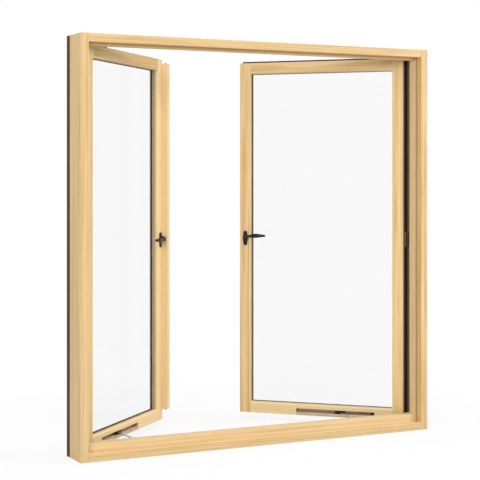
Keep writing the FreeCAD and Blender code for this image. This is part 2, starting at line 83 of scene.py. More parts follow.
class Side(Enum):
    """Which sash of the pair, as seen from the room."""

    LEFT = "left"
    RIGHT = "right"


class Grain(Enum):
    """Which way a board's fibres run."""

    UPRIGHT = "upright"
    ACROSS = "across"


class NodeBench:
    """A node tree with short calls for adding and wiring nodes."""

    def __init__(self, tree: bpy.types.NodeTree) -> None:
        """Keeps the tree that the nodes go into."""
        self.tree = tree

    def feed(self, socket: bpy.types.NodeSocket, value: Any) -> None:
        """Wires an input socket to an output, or sets it to a plain value.

        Args:
            socket: the input socket.
            value: the output or the value that it takes.
        """
        if isinstance(value, bpy.types.NodeSocket):
            self.tree.links.new(value, socket)
        else:
            socket.default_value = value

    def add(self, kind: str, inputs: dict[Any, Any] | None = None, **settings: Any) -> bpy.types.Node:
        """Adds one node.

        Args:
            kind: the node's type name.
            inputs: a value or an output socket for each input, by name or number.
            settings: properties of the node itself.

        Returns:
            The new node.
        """
        node = self.tree.nodes.new(kind)
        for key, value in settings.items():
            setattr(node, key, value)
        for key, value in (inputs or {}).items():
            self.feed(node.inputs[key], value)
        return node

    def maths(self, operation: str, first: Any, second: Any = 0.0) -> bpy.types.NodeSocket:
        """Combines two numbers with a Math node and gives its result."""
        return self.add("ShaderNodeMath", {0: first, 1: second}, operation=operation).outputs[0]

    def product(self, first: Any, second: Any) -> bpy.types.NodeSocket:
        """Multiplies two numbers."""
        return self.maths("MULTIPLY", first, second)

    def vectors(self, operation: str, first: Any, second: Any) -> bpy.types.NodeSocket:
        """Combines two vectors with a Vector Math node and gives its result."""
        return self.add("ShaderNodeVectorMath", {0: first, 1: second}, operation=operation).outputs[0]

    def length(self, vector: Any) -> bpy.types.NodeSocket:
        """The length of a vector."""
        return self.add("ShaderNodeVectorMath", {0: vector}, operation="LENGTH").outputs["Value"]

    def span(self, value: Any, source: Sequence[Any], target: Sequence[Any],
             curve: str = "LINEAR") -> bpy.types.NodeSocket:
        """Maps a number from one range to another.

        Args:
            value: the number's socket.
            source: the range that it comes in.
            target: the range that it goes out in.
            curve: how the range is run through.

        Returns:
            The mapped number's socket.
        """
        inputs = {0: value, 1: source[0], 2: source[1], 3: target[0], 4: target[1]}
        return self.add("ShaderNodeMapRange", inputs, interpolation_type=curve).outputs[0]


class Shader(NodeBench):
    """A new material, with short calls for the patterns that the finishes share."""

    def __init__(self, name: str) -> None:
        """Starts a material with its usual surface shader.

        Args:
            name: the material's name.
        """
        self.material = bpy.data.materials.new(name)
        self.material.use_nodes = True
        super().__init__(self.material.node_tree)
        self.surface = self.tree.nodes["Principled BSDF"]

    def place(self) -> bpy.types.NodeSocket:
        """The point's own place on the window."""
        return self.add("ShaderNodeTexCoord").outputs["Object"]

    def attribute(self, name: str, output: str = "Fac") -> bpy.types.NodeSocket:
        """A value that the mesh carries."""
        return self.add("ShaderNodeAttribute", attribute_name=name).outputs[output]

    def noise(self, vector: Any, cells: float, detail: float = 2.0,
              output: str = "Fac") -> bpy.types.NodeSocket:
        """Makes soft noise.

        Args:
            vector: the point that it is read at.
            cells: how many cells it has to the metre.
            detail: how many finer layers it has.
            output: the socket that is wanted, a number or a colour.

        Returns:
            The noise's socket.
        """
        inputs = {"Vector": vector, "Scale": cells, "Detail": detail, "Roughness": NOISE_ROUGHNESS}
        return self.add("ShaderNodeTexNoise", inputs).outputs[output]

    def fibres(self, board: Any, draw: float, cells: float, detail: float = 2.0,
               output: str = "Fac") -> bpy.types.NodeSocket:
        """Makes noise that is drawn out along a board.

        Args:
            board: the point's board coordinates.
            draw: how many of its cells there are along the board for one across it.
            cells: how many cells it has to the metre across the board.
            detail: how many finer layers it has.
            output: the socket that is wanted, a number or a colour.

        Returns:
            The noise's socket.
        """
        return self.noise(self.vectors("MULTIPLY", board, (1.0, 1.0, draw)), cells, detail, output)

    def blend(self, share: Any, first: Any, second: Any) -> bpy.types.NodeSocket:
        """Mixes two colours.

        Args:
            share: how much of the second colour is taken.
            first: the colour below.
            second: the colour above.

        Returns:
            The mixed colour's socket.
        """
        return self.add("ShaderNodeMix", {0: share, 6: first, 7: second}, data_type="RGBA").outputs[2]

    def worn(self, share: Any, colour: Any, rubbed: Colour) -> bpy.types.NodeSocket:
        """Shows a rubbed colour along the rounded edges.

        Args:
            share: how far an edge is rubbed.
            colour: the colour everywhere else.
            rubbed: the colour of a rubbed edge.

        Returns:
            The worn colour's socket.
        """
        return self.blend(self.product(self.attribute("arris"), share), colour, rubbed)

    def dress(self, inputs: dict[str, Any]) -> None:
        """Sets or wires the surface shader's own sockets.

        Args:
            inputs: a value or an output socket for each of them, by name.
        """
        for key, value in inputs.items():
            self.feed(self.surface.inputs[key], value)

    def bump(self, height: Any, strength: float, distance: float) -> None:
        """Roughens the surface by a height pattern.

        Args:
            height: the pattern's socket.
            strength: how far it shows, up to one.
            distance: how high it stands.
        """
        node = self.add("ShaderNodeBump", {"Height": height, "Strength": strength, "Distance": distance})
        self.dress({"Normal": node.outputs[0]})

    def veil(self, share: Any, other: bpy.types.Node) -> None:
        """Mixes another shader over the surface.

        Args:
            share: how much of the other shader is taken.
            other: the other shader's node.
        """
        inputs = {0: share, 1: self.surface.outputs[0], 2: other.outputs[0]}
        either = self.add("ShaderNodeMixShader", inputs)
        self.feed(self.tree.nodes["Material Output"].inputs["Surface"], either.outputs[0])


def seen_rays(bench: NodeBench) -> bpy.types.NodeSocket:
    """Adds up the ray kinds that show the background.

    Args:
        bench: the node tree to work in.

    Returns:
        A socket that is one for rays from the camera, a reflection or through glass, and nought for
        light falling on the window.
    """
    rays = bench.add("ShaderNodeLightPath").outputs
    shown = bench.maths("MAXIMUM", rays["Is Camera Ray"], rays["Is Glossy Ray"])
    return bench.maths("MAXIMUM", shown, rays["Is Transmission Ray"])


@dataclass(frozen=True)
class Finish:
    """A finish by name, whose material is made on first use."""

    name: str

    def material(self) -> bpy.types.Material:
        """The finish's material."""
        return bpy.data.materials.get(self.name) or self.make()

    def make(self) -> bpy.types.Material:
        """Builds the material; each finish has its own."""
        raise NotImplementedError


@dataclass(frozen=True)
class PineFinish(Finish):
    """Clear-oiled pine, from the board coordinates that each wooden piece carries."""

    early_wood: Colour = (0.80, 0.575, 0.287, 1.0)
    late_wood: Colour = (0.54, 0.315, 0.105, 1.0)
    pale_wood: Colour = (0.87, 0.675, 0.40, 1.0)
    end_wood: Colour = (0.50, 0.29, 0.11, 1.0)
    worn_edge: Colour = (0.88, 0.67, 0.38, 1.0)
    # The colour of painted shade, mixed over faces that sit in shade.
    shaded_wood: Colour = (0.47, 0.29, 0.11, 1.0)
    ring_width: float = 0.0072
    wander: float = 0.0100
    wander_cells: float = 9.0
    fibre_cells: float = 850.0
    tone_cells: float = 16.0
    band_cells: float = 95.0
    rub_cells: float = 60.0
    specular: float = 0.22
    relief: tuple[float, float] = (0.22, 0.0006)

    def rings(self, shader: Shader, board: bpy.types.NodeSocket) -> bpy.types.NodeSocket:
        """Growth rings round a pith that wanders along the board.

        Args:
            shader: the material in hand.
            board: the point's board coordinates.

        Returns:
            A socket that climbs from early wood to late wood in each ring.
        """
        drift = shader.fibres(board, 0.10, self.wander_cells, output="Color")
        centred = shader.vectors("SUBTRACT", drift, (0.5, 0.5, 0.5))
        moved = shader.vectors("MULTIPLY", centred, (2.0 * self.wander,) * 3)
        flat = shader.vectors("MULTIPLY", shader.vectors("ADD", board, moved), (1.0, 1.0, 0.0))
        saw = shader.maths("FRACT", shader.maths("DIVIDE", shader.length(flat), self.ring_width))
        climb = shader.span(saw, (0.15, 0.86), (0.0, 1.0), "SMOOTHSTEP")
        fall = shader.span(saw, (0.88, 1.0), (1.0, 0.0), "SMOOTHSTEP")
        return shader.product(climb, fall)

    def make(self) -> bpy.types.Material:
        """Builds the oiled pine.

        Returns:
            The new material.
        """
        shader = Shader(self.name)
        board = shader.attribute("board", "Vector")
        ring = self.rings(shader, board)
        fibre = shader.fibres(board, 0.012, self.fibre_cells, 3.0)
        tone = shader.fibres(board, 0.06, self.tone_cells)
        band = shader.fibres(board, 0.028, self.band_cells)
        depth = shader.span(tone, (0.3, 0.7), (0.12, 0.72))
        streak = shader.span(fibre, (0.30, 0.44), (0.30, 0.0))
        wood = shader.blend(shader.product(ring, depth), self.early_wood, self.late_wood)
        for share, tint in ((shader.span(band, (0.52, 0.74), (0.0, 0.75)), self.pale_wood),
                            (shader.span(band, (0.30, 0.47), (0.42, 0.0)), self.late_wood),
                            (streak, self.late_wood),
                            # Paler boards: partly their own tone and partly painted light, with a painted
                            # highlight on splayed faces.
                            (shader.product(shader.attribute("paler_and_painted_light"), 0.75), self.pale_wood),
                            # Painted shade: faces marked by the board's painted_shade mask are darkened
                            # towards shaded_wood.
                            (shader.attribute("painted_shade"), self.shaded_wood),
                            (shader.product(shader.attribute("end_grain"), 0.65), self.end_wood)):
            wood = shader.blend(share, wood, tint)
        rub = shader.span(shader.noise(board, self.rub_cells), (0.35, 0.65), (0.1, 0.55))
        wood = shader.worn(rub, wood, self.worn_edge)
        gloss = shader.span(shader.maths("ADD", ring, fibre), (0.2, 1.4), (0.56, 0.42))
        shader.dress({"Base Color": wood, "Roughness": gloss, "Specular IOR Level": self.specular})
        relief = shader.maths("SUBTRACT", shader.product(ring, 0.5), shader.product(streak, 1.6))
        shader.bump(relief, *self.relief)
        return shader.material


@dataclass(frozen=True)
class CladdingFinish(Finish):
    """Powder-coated sheet: dark brown with a fine orange-peel skin."""

    coat: Colour = (0.080, 0.036, 0.021, 1.0)
    faded: Colour = (0.105, 0.050, 0.030, 1.0)
    rubbed: Colour = (0.17, 0.095, 0.062, 1.0)
    # Painted light: the paler colour on faces that line the hinge pockets, which sit in deep shade.
    painted_pocket_light: Colour = (0.34, 0.240, 0.180, 1.0)
    cloud_cells: float = 11.0
    fleck_cells: float = 1900.0
    rub_cells: float = 90.0
    peel_cells: float = 750.0
    specular: float = 0.03
    relief: tuple[float, float] = (0.12, 0.0004)

    def make(self) -> bpy.types.Material:
        """Builds the coated sheet, with painted light on the faces that line the hinge pockets.

        Returns:
            The new material.
        """
        shader = Shader(self.name)
        place = shader.place()
        cloud = shader.span(shader.noise(place, self.cloud_cells, 4.0), (0.35, 0.7), (0.0, 1.0))
        fleck = shader.span(shader.noise(place, self.fleck_cells, 1.0), (0.60, 0.72), (0.0, 0.25))
        rub = shader.span(shader.noise(place, self.rub_cells), (0.4, 0.7), (0.0, 0.6))
        peel = shader.noise(place, self.peel_cells)
        colour = shader.blend(cloud, self.coat, self.faded)
        # Painted light lifts the pocket faces out of their shade.
        colour = shader.blend(shader.attribute("painted_pocket_light"), colour, self.painted_pocket_light)
        colour = shader.worn(rub, shader.blend(fleck, colour, self.rubbed), self.rubbed)
        gloss = shader.span(peel, (0.3, 0.7), (0.46, 0.62))
        shader.dress({"Base Color": colour, "Roughness": gloss, "Specular IOR Level": self.specular})
        shader.bump(peel, *self.relief)
        return shader.material


@dataclass(frozen=True)
class GlassFinish(Finish):
    """Clear pane that lets lamps through, with a breath of grey and a faint film of dust."""

    tint: Colour = (0.968, 0.969, 0.969, 1.0)
    shade: Colour = (0.93, 0.94, 0.94, 1.0)
    bending: float = 1.035
    film_cells: float = 6.0

    def make(self) -> bpy.types.Material:
        """Builds the pane.

        Returns:
            The new material.
        """
        shader = Shader(self.name)
        film = shader.span(shader.noise(shader.place(), self.film_cells, 3.0), (0.3, 0.7), (0.0, 0.02))
        shader.dress({"Base Color": self.tint, "Transmission Weight": 1.0, "IOR": self.bending,
                      "Roughness": film})
        clear = shader.add("ShaderNodeBsdfTransparent", {"Color": self.shade})
        shader.veil(shader.add("ShaderNodeLightPath").outputs["Is Shadow Ray"], clear)
        return shader.material


@dataclass(frozen=True)
class MetalFinish(Finish):
    """Drawn or cast metal, bare or coated, with its own grain, wear and gloss."""

    base: Colour = (0.62, 0.57, 0.50, 1.0)
    dull: Colour = (0.47, 0.43, 0.37, 1.0)
    rubbed: Colour = (0.74, 0.70, 0.64, 1.0)
    metallic: float = 1.0
    gloss: tuple[float, float] = (0.26, 0.42)
    grain: tuple[float, float, float] = (0.05, 0.05, 1.0)
    cells: float = 1600.0
    relief: float = 0.10
    specular: float = 0.5
    relief_height: float = 0.0003
    cloud_cells: float = 45.0
    rub_cells: float = 320.0

    def make(self) -> bpy.types.Material:
        """Builds the metal.

        Returns:
            The new material.
        """
        shader = Shader(self.name)
        place = shader.place()
        drawn = shader.noise(shader.vectors("MULTIPLY", place, self.grain), self.cells)
        cloud = shader.span(shader.noise(place, self.cloud_cells, 3.0), (0.35, 0.7), (0.0, 1.0))
        rub = shader.span(shader.noise(place, self.rub_cells), (0.40, 0.68), (0.0, 0.8))
        colour = shader.worn(rub, shader.blend(cloud, self.base, self.dull), self.rubbed)
        shader.dress({"Base Color": colour, "Metallic": self.metallic, "Specular IOR Level": self.specular,
                      "Roughness": shader.span(drawn, (0.3, 0.7), self.gloss)})
        shader.bump(drawn, self.relief, self.relief_height)
        return shader.material


@dataclass(frozen=True)
class RubberFinish(Finish):
    """Matt seal rubber with a bloom on it, black unless told otherwise."""

    base: Colour = (0.020, 0.020, 0.021, 1.0)
    bloom: Colour = (0.050, 0.047, 0.044, 1.0)
    cloud_cells: float = 55.0
    skin_cells: float = 1400.0
    specular: float = 0.35
    relief: tuple[float, float] = (0.15, 0.0003)

    def make(self) -> bpy.types.Material:
        """Builds the rubber.

        Returns:
            The new material.
        """
        shader = Shader(self.name)
        place = shader.place()
        cloud = shader.span(shader.noise(place, self.cloud_cells, 3.0), (0.4, 0.75), (0.0, 1.0))
        skin = shader.noise(place, self.skin_cells, 1.0)
        shader.dress({"Base Color": shader.blend(cloud, self.base, self.bloom),
                      "Roughness": shader.span(skin, (0.3, 0.7), (0.62, 0.82)),
                      "Specular IOR Level": self.specular})
        shader.bump(skin, *self.relief)
        return shader.material


@dataclass(frozen=True)
class FloorFinish(Finish):
    """Pale studio floor that keeps a soft shadow and fades to white away from the window."""

    pale: Colour = (0.94, 0.94, 0.94, 1.0)
    cast: Colour = (0.91, 0.91, 0.915, 1.0)
    thrown: Colour = (0.58, 0.57, 0.56, 1.0)
    white_share: float = 0.82
    fade: tuple[float, float] = (0.7, 2.0)
    mottle_cells: float = 3.0
    roughness: float = 0.9

    def make(self) -> bpy.types.Material:
        """Builds the floor.

        Returns:
            The new material.
        """
        shader = Shader(self.name)
        place = shader.place()
        seen = seen_rays(shader)
        colour = shader.blend(shader.noise(place, self.mottle_cells, 3.0), self.pale, self.cast)
        colour = shader.blend(seen, self.thrown, colour)
        shader.dress({"Base Color": colour, "Roughness": self.roughness, "Specular IOR Level": 0.0})
        far = shader.span(shader.length(place), self.fade, (self.white_share, 1.0), "SMOOTHSTEP")
        white = shader.add("ShaderNodeEmission", {"Color": (1.0, 1.0, 1.0, 1.0), "Strength": 1.0})
        shader.veil(shader.product(seen, far), white)
        return shader.material


PINE = PineFinish("oiled_pine")
SASH_PINE = PineFinish("oiled_sash_pine", (0.90, 0.635, 0.30, 1.0), (0.62, 0.36, 0.115, 1.0),
                       (1.0, 0.77, 0.435, 1.0), worn_edge=(0.95, 0.73, 0.42, 1.0))
CLADDING = CladdingFinish("brown_powder_coat")
GLASS = GlassFinish("clear_glass")
STEEL = MetalFinish("drawn_steel")
TRACK = MetalFinish("rolled_track", (0.33, 0.235, 0.185, 1.0), (0.26, 0.18, 0.14, 1.0),
                    (0.46, 0.36, 0.30, 1.0), 0.8, (0.22, 0.36), (1.0, 1.0, 0.05))
FLANGE = MetalFinish("brushed_flange", (0.60, 0.49, 0.345, 1.0), (0.49, 0.395, 0.27, 1.0),
                     (0.72, 0.62, 0.48, 1.0), 0.75, (0.34, 0.48), (1.0, 1.0, 0.05))
BRONZE = MetalFinish("dark_bronze", (0.095, 0.070, 0.055, 1.0), (0.070, 0.050, 0.040, 1.0),
                     (0.22, 0.17, 0.135, 1.0), 0.8, (0.30, 0.45))
BLACK = MetalFinish("satin_black_casting", (0.012, 0.012, 0.014, 1.0), (0.019, 0.019, 0.022, 1.0),
                    (0.060, 0.060, 0.062, 1.0), 0.0, (0.26, 0.38), (1.0, 1.0, 1.0), 900.0, 0.08, 0.22)
SPACER = MetalFinish("bronze_spacer", (0.56, 0.45, 0.29, 1.0), (0.48, 0.385, 0.24, 1.0),
                     (0.62, 0.51, 0.36, 1.0), 0.0, (0.45, 0.60), (1.0, 1.0, 1.0), 420.0, 0.12)
RUBBER = RubberFinish("seal_rubber")
TAPE = RubberFinish("glazing_tape", (0.52, 0.42, 0.25, 1.0), (0.58, 0.48, 0.32, 1.0))
BROWN_RUBBER = RubberFinish("brown_rubber", (0.17, 0.13, 0.088, 1.0), (0.21, 0.165, 0.115, 1.0))
EDGE_RUBBER = RubberFinish("edge_rubber", (0.058, 0.028, 0.014, 1.0), (0.076, 0.042, 0.024, 1.0))
FLOOR = FloorFinish("studio_floor")


@dataclass(frozen=True)
class Easing:
    """How far and how smoothly a solid's edges are rounded."""

    width: float
    segments: int = 2


BOARD_EASE = Easing(0.0009)
SHEET_EASE = Easing(0.0005)
METAL_EASE = Easing(0.0005)
CAST_EASE = Easing(0.0014, 4)
BLOCK_EASE = Easing(0.0010, 3)


def joint(name: str) -> dict[str, Any]:
    """The record's joint of that name."""
    return next(entry for entry in frame["joints"] if entry["name"] == name)


def new_object(name: str, mesh: bpy.types.Mesh) -> bpy.types.Object:
    """Puts a mesh into the scene.

    Args:
        name: the new object's name.
        mesh: its mesh.

    Returns:
        The new object.
    """
    made = bpy.data.objects.new(name, mesh)
    bpy.context.scene.collection.objects.link(made)
    return made


def baked(source: bpy.types.Object) -> bpy.types.Object:
    """Turns an object's modifiers into plain mesh.

    Args:
        source: the object whose modifiers are done with.

    Returns:
        The same object with its finished mesh and no modifier.
    """
    evaluated = source.evaluated_get(bpy.context.evaluated_depsgraph_get())
    mesh = bpy.data.meshes.new_from_object(evaluated)
    spare = source.data
    source.modifiers.clear()
    source.data = mesh
    mesh.name = source.name
    bpy.data.meshes.remove(spare)
    return source


def keep(piece: bpy.types.Object, body: str, nodes: Sequence[str] = ()) -> bpy.types.Object:
    """Hands a finished piece to its body.

    Args:
        piece: the finished object.
        body: the body that it moves with.
        nodes: the solids that it stands for.

    Returns:
        The same object.
    """
    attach(piece, body)
    if nodes:
        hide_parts(*nodes)
    LOG.info("%s rides on %s with %d faces", piece.name, body, len(piece.data.polygons))
    return piece


def welded(node: str) -> bpy.types.Mesh:
    """Copies a solid's mesh as whole faces.

    Args:
        node: the solid's name.

    Returns:
        A new mesh, merged and without the flat faces' diagonals.
    """
    source = frame["nodes"][node].data
    loose = bpy.data.meshes.new(node + "_copy")
    loose.from_pydata([vertex.co for vertex in source.vertices], [],
                      [list(face.vertices) for face in source.polygons])
    work = bmesh.new()
    work.from_mesh(loose)
    bmesh.ops.remove_doubles(work, verts=work.verts, dist=WELD)
    bmesh.ops.dissolve_limit(work, angle_limit=FLAT_ANGLE, verts=work.verts, edges=work.edges)
    for face in work.faces:
        face.smooth = True
    work.to_mesh(loose)
    work.free()
    return loose


def mark(mesh: bpy.types.Mesh, name: str, values: Sequence[float]) -> None:
    """Writes one number to each face of a mesh."""
    mesh.attributes.new(name, "FLOAT", "FACE").data.foreach_set("value", list(values))


def softened(node: str, easing: Easing, finish: Finish) -> bpy.types.Object:
    """Copies a solid with its edges rounded, and marks the rounded faces for wear.

    Args:
        node: the solid's name.
        easing: how its edges are rounded.
        finish: what it is finished in.

    Returns:
        The dressed copy, not yet on a body.
    """
    piece = new_object(node + "_dressed", welded(node))
    piece.data.materials.append(None)
    piece.data.materials.append(None)
    bevel = piece.modifiers.new("ease", "BEVEL")
    bevel.width = easing.width
    bevel.segments = easing.segments
    bevel.limit_method = "ANGLE"
    bevel.angle_limit = EASED_ANGLE
    bevel.harden_normals = True
    bevel.material = 1
    baked(piece)
    mesh = piece.data
    mark(mesh, "arris", [float(face.material_index == 1) for face in mesh.polygons])
    mesh.materials.clear()
    mesh.materials.append(finish.material())
    mesh.polygons.foreach_set("material_index", [0] * len(mesh.polygons))
    return piece


@dataclass
class SashSpace:
    """Carries points of the shut left-hand sash to where one side's sash stands."""

    side: Side
    matrix: Matrix = field(init=False)
    back: Matrix = field(init=False)

    def __post_init__(self) -> None:
        """Works the place out from the sash's own hinge."""
        swing = joint(self.side.value + "_sash_swing")
        pivot = Vector(swing["pos_m"])
        turn = Matrix.Rotation(math.radians(-swing["range_deg"][0]), 4, Vector(swing["axis"]))
        self.matrix = Matrix.Translation(pivot) @ turn @ Matrix.Translation(-pivot)
        if self.side is Side.RIGHT:
            self.matrix = self.matrix @ Matrix.Diagonal((-1.0, 1.0, 1.0, 1.0))
        self.back = self.matrix.inverted()

    def named(self, piece: str) -> str:
        """This side's name for a piece."""
        return f"{self.side.value}_{piece}"

    def box(self, piece: str) -> tuple[Vector, Vector]:
        """The box of this side's solid, with the sash shut and on the left.

        Args:
            piece: the solid's name without its side.

        Returns:
            The lowest and the highest corner.
        """
        points = [self.back @ vertex.co for vertex in frame["nodes"][self.named(piece)].data.vertices]
        low = Vector(min(point[axis] for point in points) for axis in range(3))
        high = Vector(max(point[axis] for point in points) for axis in range(3))
        return low, high

    def carry(self, mesh: bpy.types.Mesh) -> bpy.types.Mesh:
        """Moves a mesh to where the sash stands, with its faces still outwards.

        Args:
            mesh: a mesh laid out on the shut left-hand sash.

        Returns:
            The same mesh.
        """
        mesh.transform(self.matrix)
        if self.matrix.determinant() < 0.0:
            mesh.flip_normals()
        return mesh

    def heading(self, vector: Sequence[float]) -> Vector:
        """A direction on the shut left-hand sash, turned to where the sash stands."""
        return self.matrix.to_3x3() @ Vector(vector)


@dataclass
class Joinery:
    """Dresses boards in pine, each cut from its own part of the log."""

    seed: int = 11
    pith_aside: float = 0.03
    pith_below: tuple[float, float] = (0.035, 0.075)
    pith_along: float = 9.0
    square_face: float = 0.99
    end_face: float = 0.9

    def __post_init__(self) -> None:
        """Starts the fixed run of board places."""
        self.chance = random.Random(self.seed)

    def board(self, node: str, body: str, grain: Grain, turn: Matrix | None = None, paler_and_painted_light: float = 0.0,
              splay_highlight: float = 0.0, painted_shade: Vector | None = None) -> bpy.types.Object:
        """Dresses one wooden solid.

        Args:
            node: the solid's name.
            body: the body that it moves with.
            grain: which way its fibres run.
            turn: how the board stands, where it isn't square to the frame.
            paler_and_painted_light: how far its wood is drawn paler, up to one: partly its own tone and
                partly painted light.
            splay_highlight: how far its splayed faces are drawn paler than the rest of it as a painted
                highlight, up to one.
            painted_shade: the direction of the faces that are darkened with painted shade, and by its length
                how far.

        Returns:
            The dressed board.
        """
        piece = softened(node, BOARD_EASE, SASH_PINE if turn else PINE)
        square = (turn or Matrix.Identity(4)).to_3x3()
        wide, deep, tall = (square @ Vector(axis) for axis in ((1, 0, 0), (0, 1, 0), (0, 0, 1)))
        axes = (wide, deep, tall) if grain is Grain.UPRIGHT else (tall, deep, wide)
        mesh = piece.data
        middle = sum((vertex.co for vertex in mesh.vertices), Vector()) / len(mesh.vertices)
        ranges = ((-self.pith_aside, self.pith_aside), self.pith_below, (0.0, self.pith_along))
        pith = Vector([self.chance.uniform(*ends) for ends in ranges])
        points: list[float] = []
        for vertex in mesh.vertices:
            offset = vertex.co - middle
            points.extend(offset.dot(axis) + shift for axis, shift in zip(axes, pith))
        mesh.attributes.new("board", "FLOAT_VECTOR", "POINT").data.foreach_set("vector", points)
        shade_way = painted_shade or Vector()
        normals = [face.normal.copy() for face in mesh.polygons]
        slant = [max(abs(normal.dot(axis)) for axis in axes) < self.square_face for normal in normals]
        # Painted light: the whole board is drawn paler as far as asked, and splayed faces get a painted
        # highlight on top.
        mark(mesh, "paler_and_painted_light", [paler_and_painted_light + splay_highlight * aside for aside in slant])
        # Painted shade: faces turned along shade_way are darkened as far as they face it.
        mark(mesh, "painted_shade", [max(0.0, normal.dot(shade_way)) for normal in normals])
        mark(mesh, "end_grain", [float(abs(normal.dot(axes[2])) > self.end_face) for normal in normals])
        return keep(piece, body, [node])


def outward(piece: bpy.types.Object) -> bpy.types.Object:
    """Merges a piece's doubles and turns its faces outwards.

    Args:
        piece: an object of closed shells.

    Returns:
        The same object.
    """
    work = bmesh.new()
    work.from_mesh(piece.data)
    bmesh.ops.remove_doubles(work, verts=work.verts, dist=MERGE)
    bmesh.ops.recalc_face_normals(work, faces=work.faces)
    if work.calc_volume(signed=True) < 0.0:
        bmesh.ops.reverse_faces(work, faces=work.faces)
    work.to_mesh(piece.data)
    work.free()
    return piece


@dataclass
class ShapeTree:
    """A tree of geometry nodes with named inputs, run on a guide mesh."""

    group: bpy.types.NodeTree = field(init=False)
    keys: dict[str, str] = field(init=False, default_factory=dict)

    def start(self, name: str, numbers: Sequence[str], vectors: Sequence[str] = ()) -> NodeBench:
        """Starts the tree with its inputs.

        Args:
            name: the tree's name.
            numbers: the names of its sizes.
            vectors: the names of its directions.

        Returns:
            The bench that its nodes are added on.
        """
        self.group = bpy.data.node_groups.new(name, "GeometryNodeTree")
        face = self.group.interface
        for way in ("OUTPUT", "INPUT"):
            face.new_socket("Geometry", in_out=way, socket_type="NodeSocketGeometry")
        kinds = {"NodeSocketFloat": numbers, "NodeSocketVector": vectors, "NodeSocketMaterial": ("Finish",)}
        for kind, labels in kinds.items():
            for label in labels:
                self.keys[label] = face.new_socket(label, in_out="INPUT", socket_type=kind).identifier
        return NodeBench(self.group)

    def end(self, bench: NodeBench, shape: bpy.types.Node, finish: bpy.types.NodeSocket) -> None:
        """Ends the tree: the shape is made real and given its material.

        Args:
            bench: the tree's bench.
            shape: the node that gives the shape.
            finish: the material's socket.
        """
        solid = bench.add("GeometryNodeRealizeInstances", {"Geometry": shape.outputs[0]})
        done = bench.add("GeometryNodeSetMaterial", {"Geometry": solid.outputs[0], "Material": finish})
        bench.add("NodeGroupOutput", {0: done.outputs[0]})

    def shaped(self, guide: bpy.types.Mesh, values: dict[str, Any], finish: Finish) -> bpy.types.Object:
        """Runs the tree.

        Args:
            guide: the mesh that it runs on, under the piece's name.
            values: the tree's sizes and directions, by name.
            finish: what the piece is made of.

        Returns:
            The piece as plain mesh, not yet on a body.
        """
        piece = new_object(guide.name, guide)
        modifier = piece.modifiers.new("shape", "NODES")
        modifier.node_group = self.group
        for label, value in values.items():
            modifier[self.keys[label]] = value
        modifier[self.keys["Finish"]] = finish.material()
        return baked(piece)


@dataclass
class SealTree(ShapeTree):
    """Geometry nodes that run a rubber seal along a closed path."""

    bulb_sides: int = 12
    corner_steps: int = 5

    def __post_init__(self) -> None:
        """Builds the tree: a flat foot and a bulb swept along the path."""
        bench = self.start("run_of_seal", ("Bulb Radius", "Bulb Rise", "Foot Width", "Foot Thickness",
                                           "Corner Radius"), ("Away",))
        given = bench.add("NodeGroupInput").outputs
        path = bench.add("GeometryNodeMeshToCurve", {"Mesh": given["Geometry"]})
        turned = bench.add("GeometryNodeFilletCurve", {
            "Curve": path.outputs[0], "Count": self.corner_steps, "Radius": given["Corner Radius"],
            "Limit Radius": True}, mode="POLY")
        faced = bench.add("GeometryNodeSetCurveNormal", {
            "Curve": turned.outputs[0], "Normal": given["Away"]}, mode="FREE")
        ring = bench.add("GeometryNodeCurvePrimitiveCircle", {
            "Resolution": self.bulb_sides, "Radius": given["Bulb Radius"]})
        lift = bench.add("ShaderNodeCombineXYZ", {"X": given["Bulb Rise"]})
        bulb = bench.add("GeometryNodeTransform", {
            "Geometry": ring.outputs[0], "Translation": lift.outputs[0]})
        strip = bench.add("GeometryNodeCurvePrimitiveQuadrilateral", {
            "Width": given["Foot Thickness"], "Height": given["Foot Width"]})
        joined = bench.add("GeometryNodeJoinGeometry")
        for profile in (bulb, strip):
            run = bench.add("GeometryNodeCurveToMesh", {
                "Curve": faced.outputs[0], "Profile Curve": profile.outputs[0], "Fill Caps": False})
            bench.feed(joined.inputs[0], run.outputs[0])
        self.end(bench, joined, given["Finish"])

    def run(self, name: str, corners: Sequence[Vector], away: Vector, sizes: dict[str, float],
            finish: Finish) -> bpy.types.Object:
        """Makes one closed run of seal.

        Args:
            name: the piece's name.
            corners: the path's corners, in the row frame.
            away: the way that the bulb stands from its foot.
            sizes: the tree's sizes, by name.
            finish: what it is made of.

        Returns:
            The seal as plain mesh, not yet on a body.
        """
        count = len(corners)
        path = bpy.data.meshes.new(name)
        path.from_pydata(corners, [(index, (index + 1) % count) for index in range(count)], [])
        return outward(self.shaped(path, {**sizes, "Away": tuple(away)}, finish))


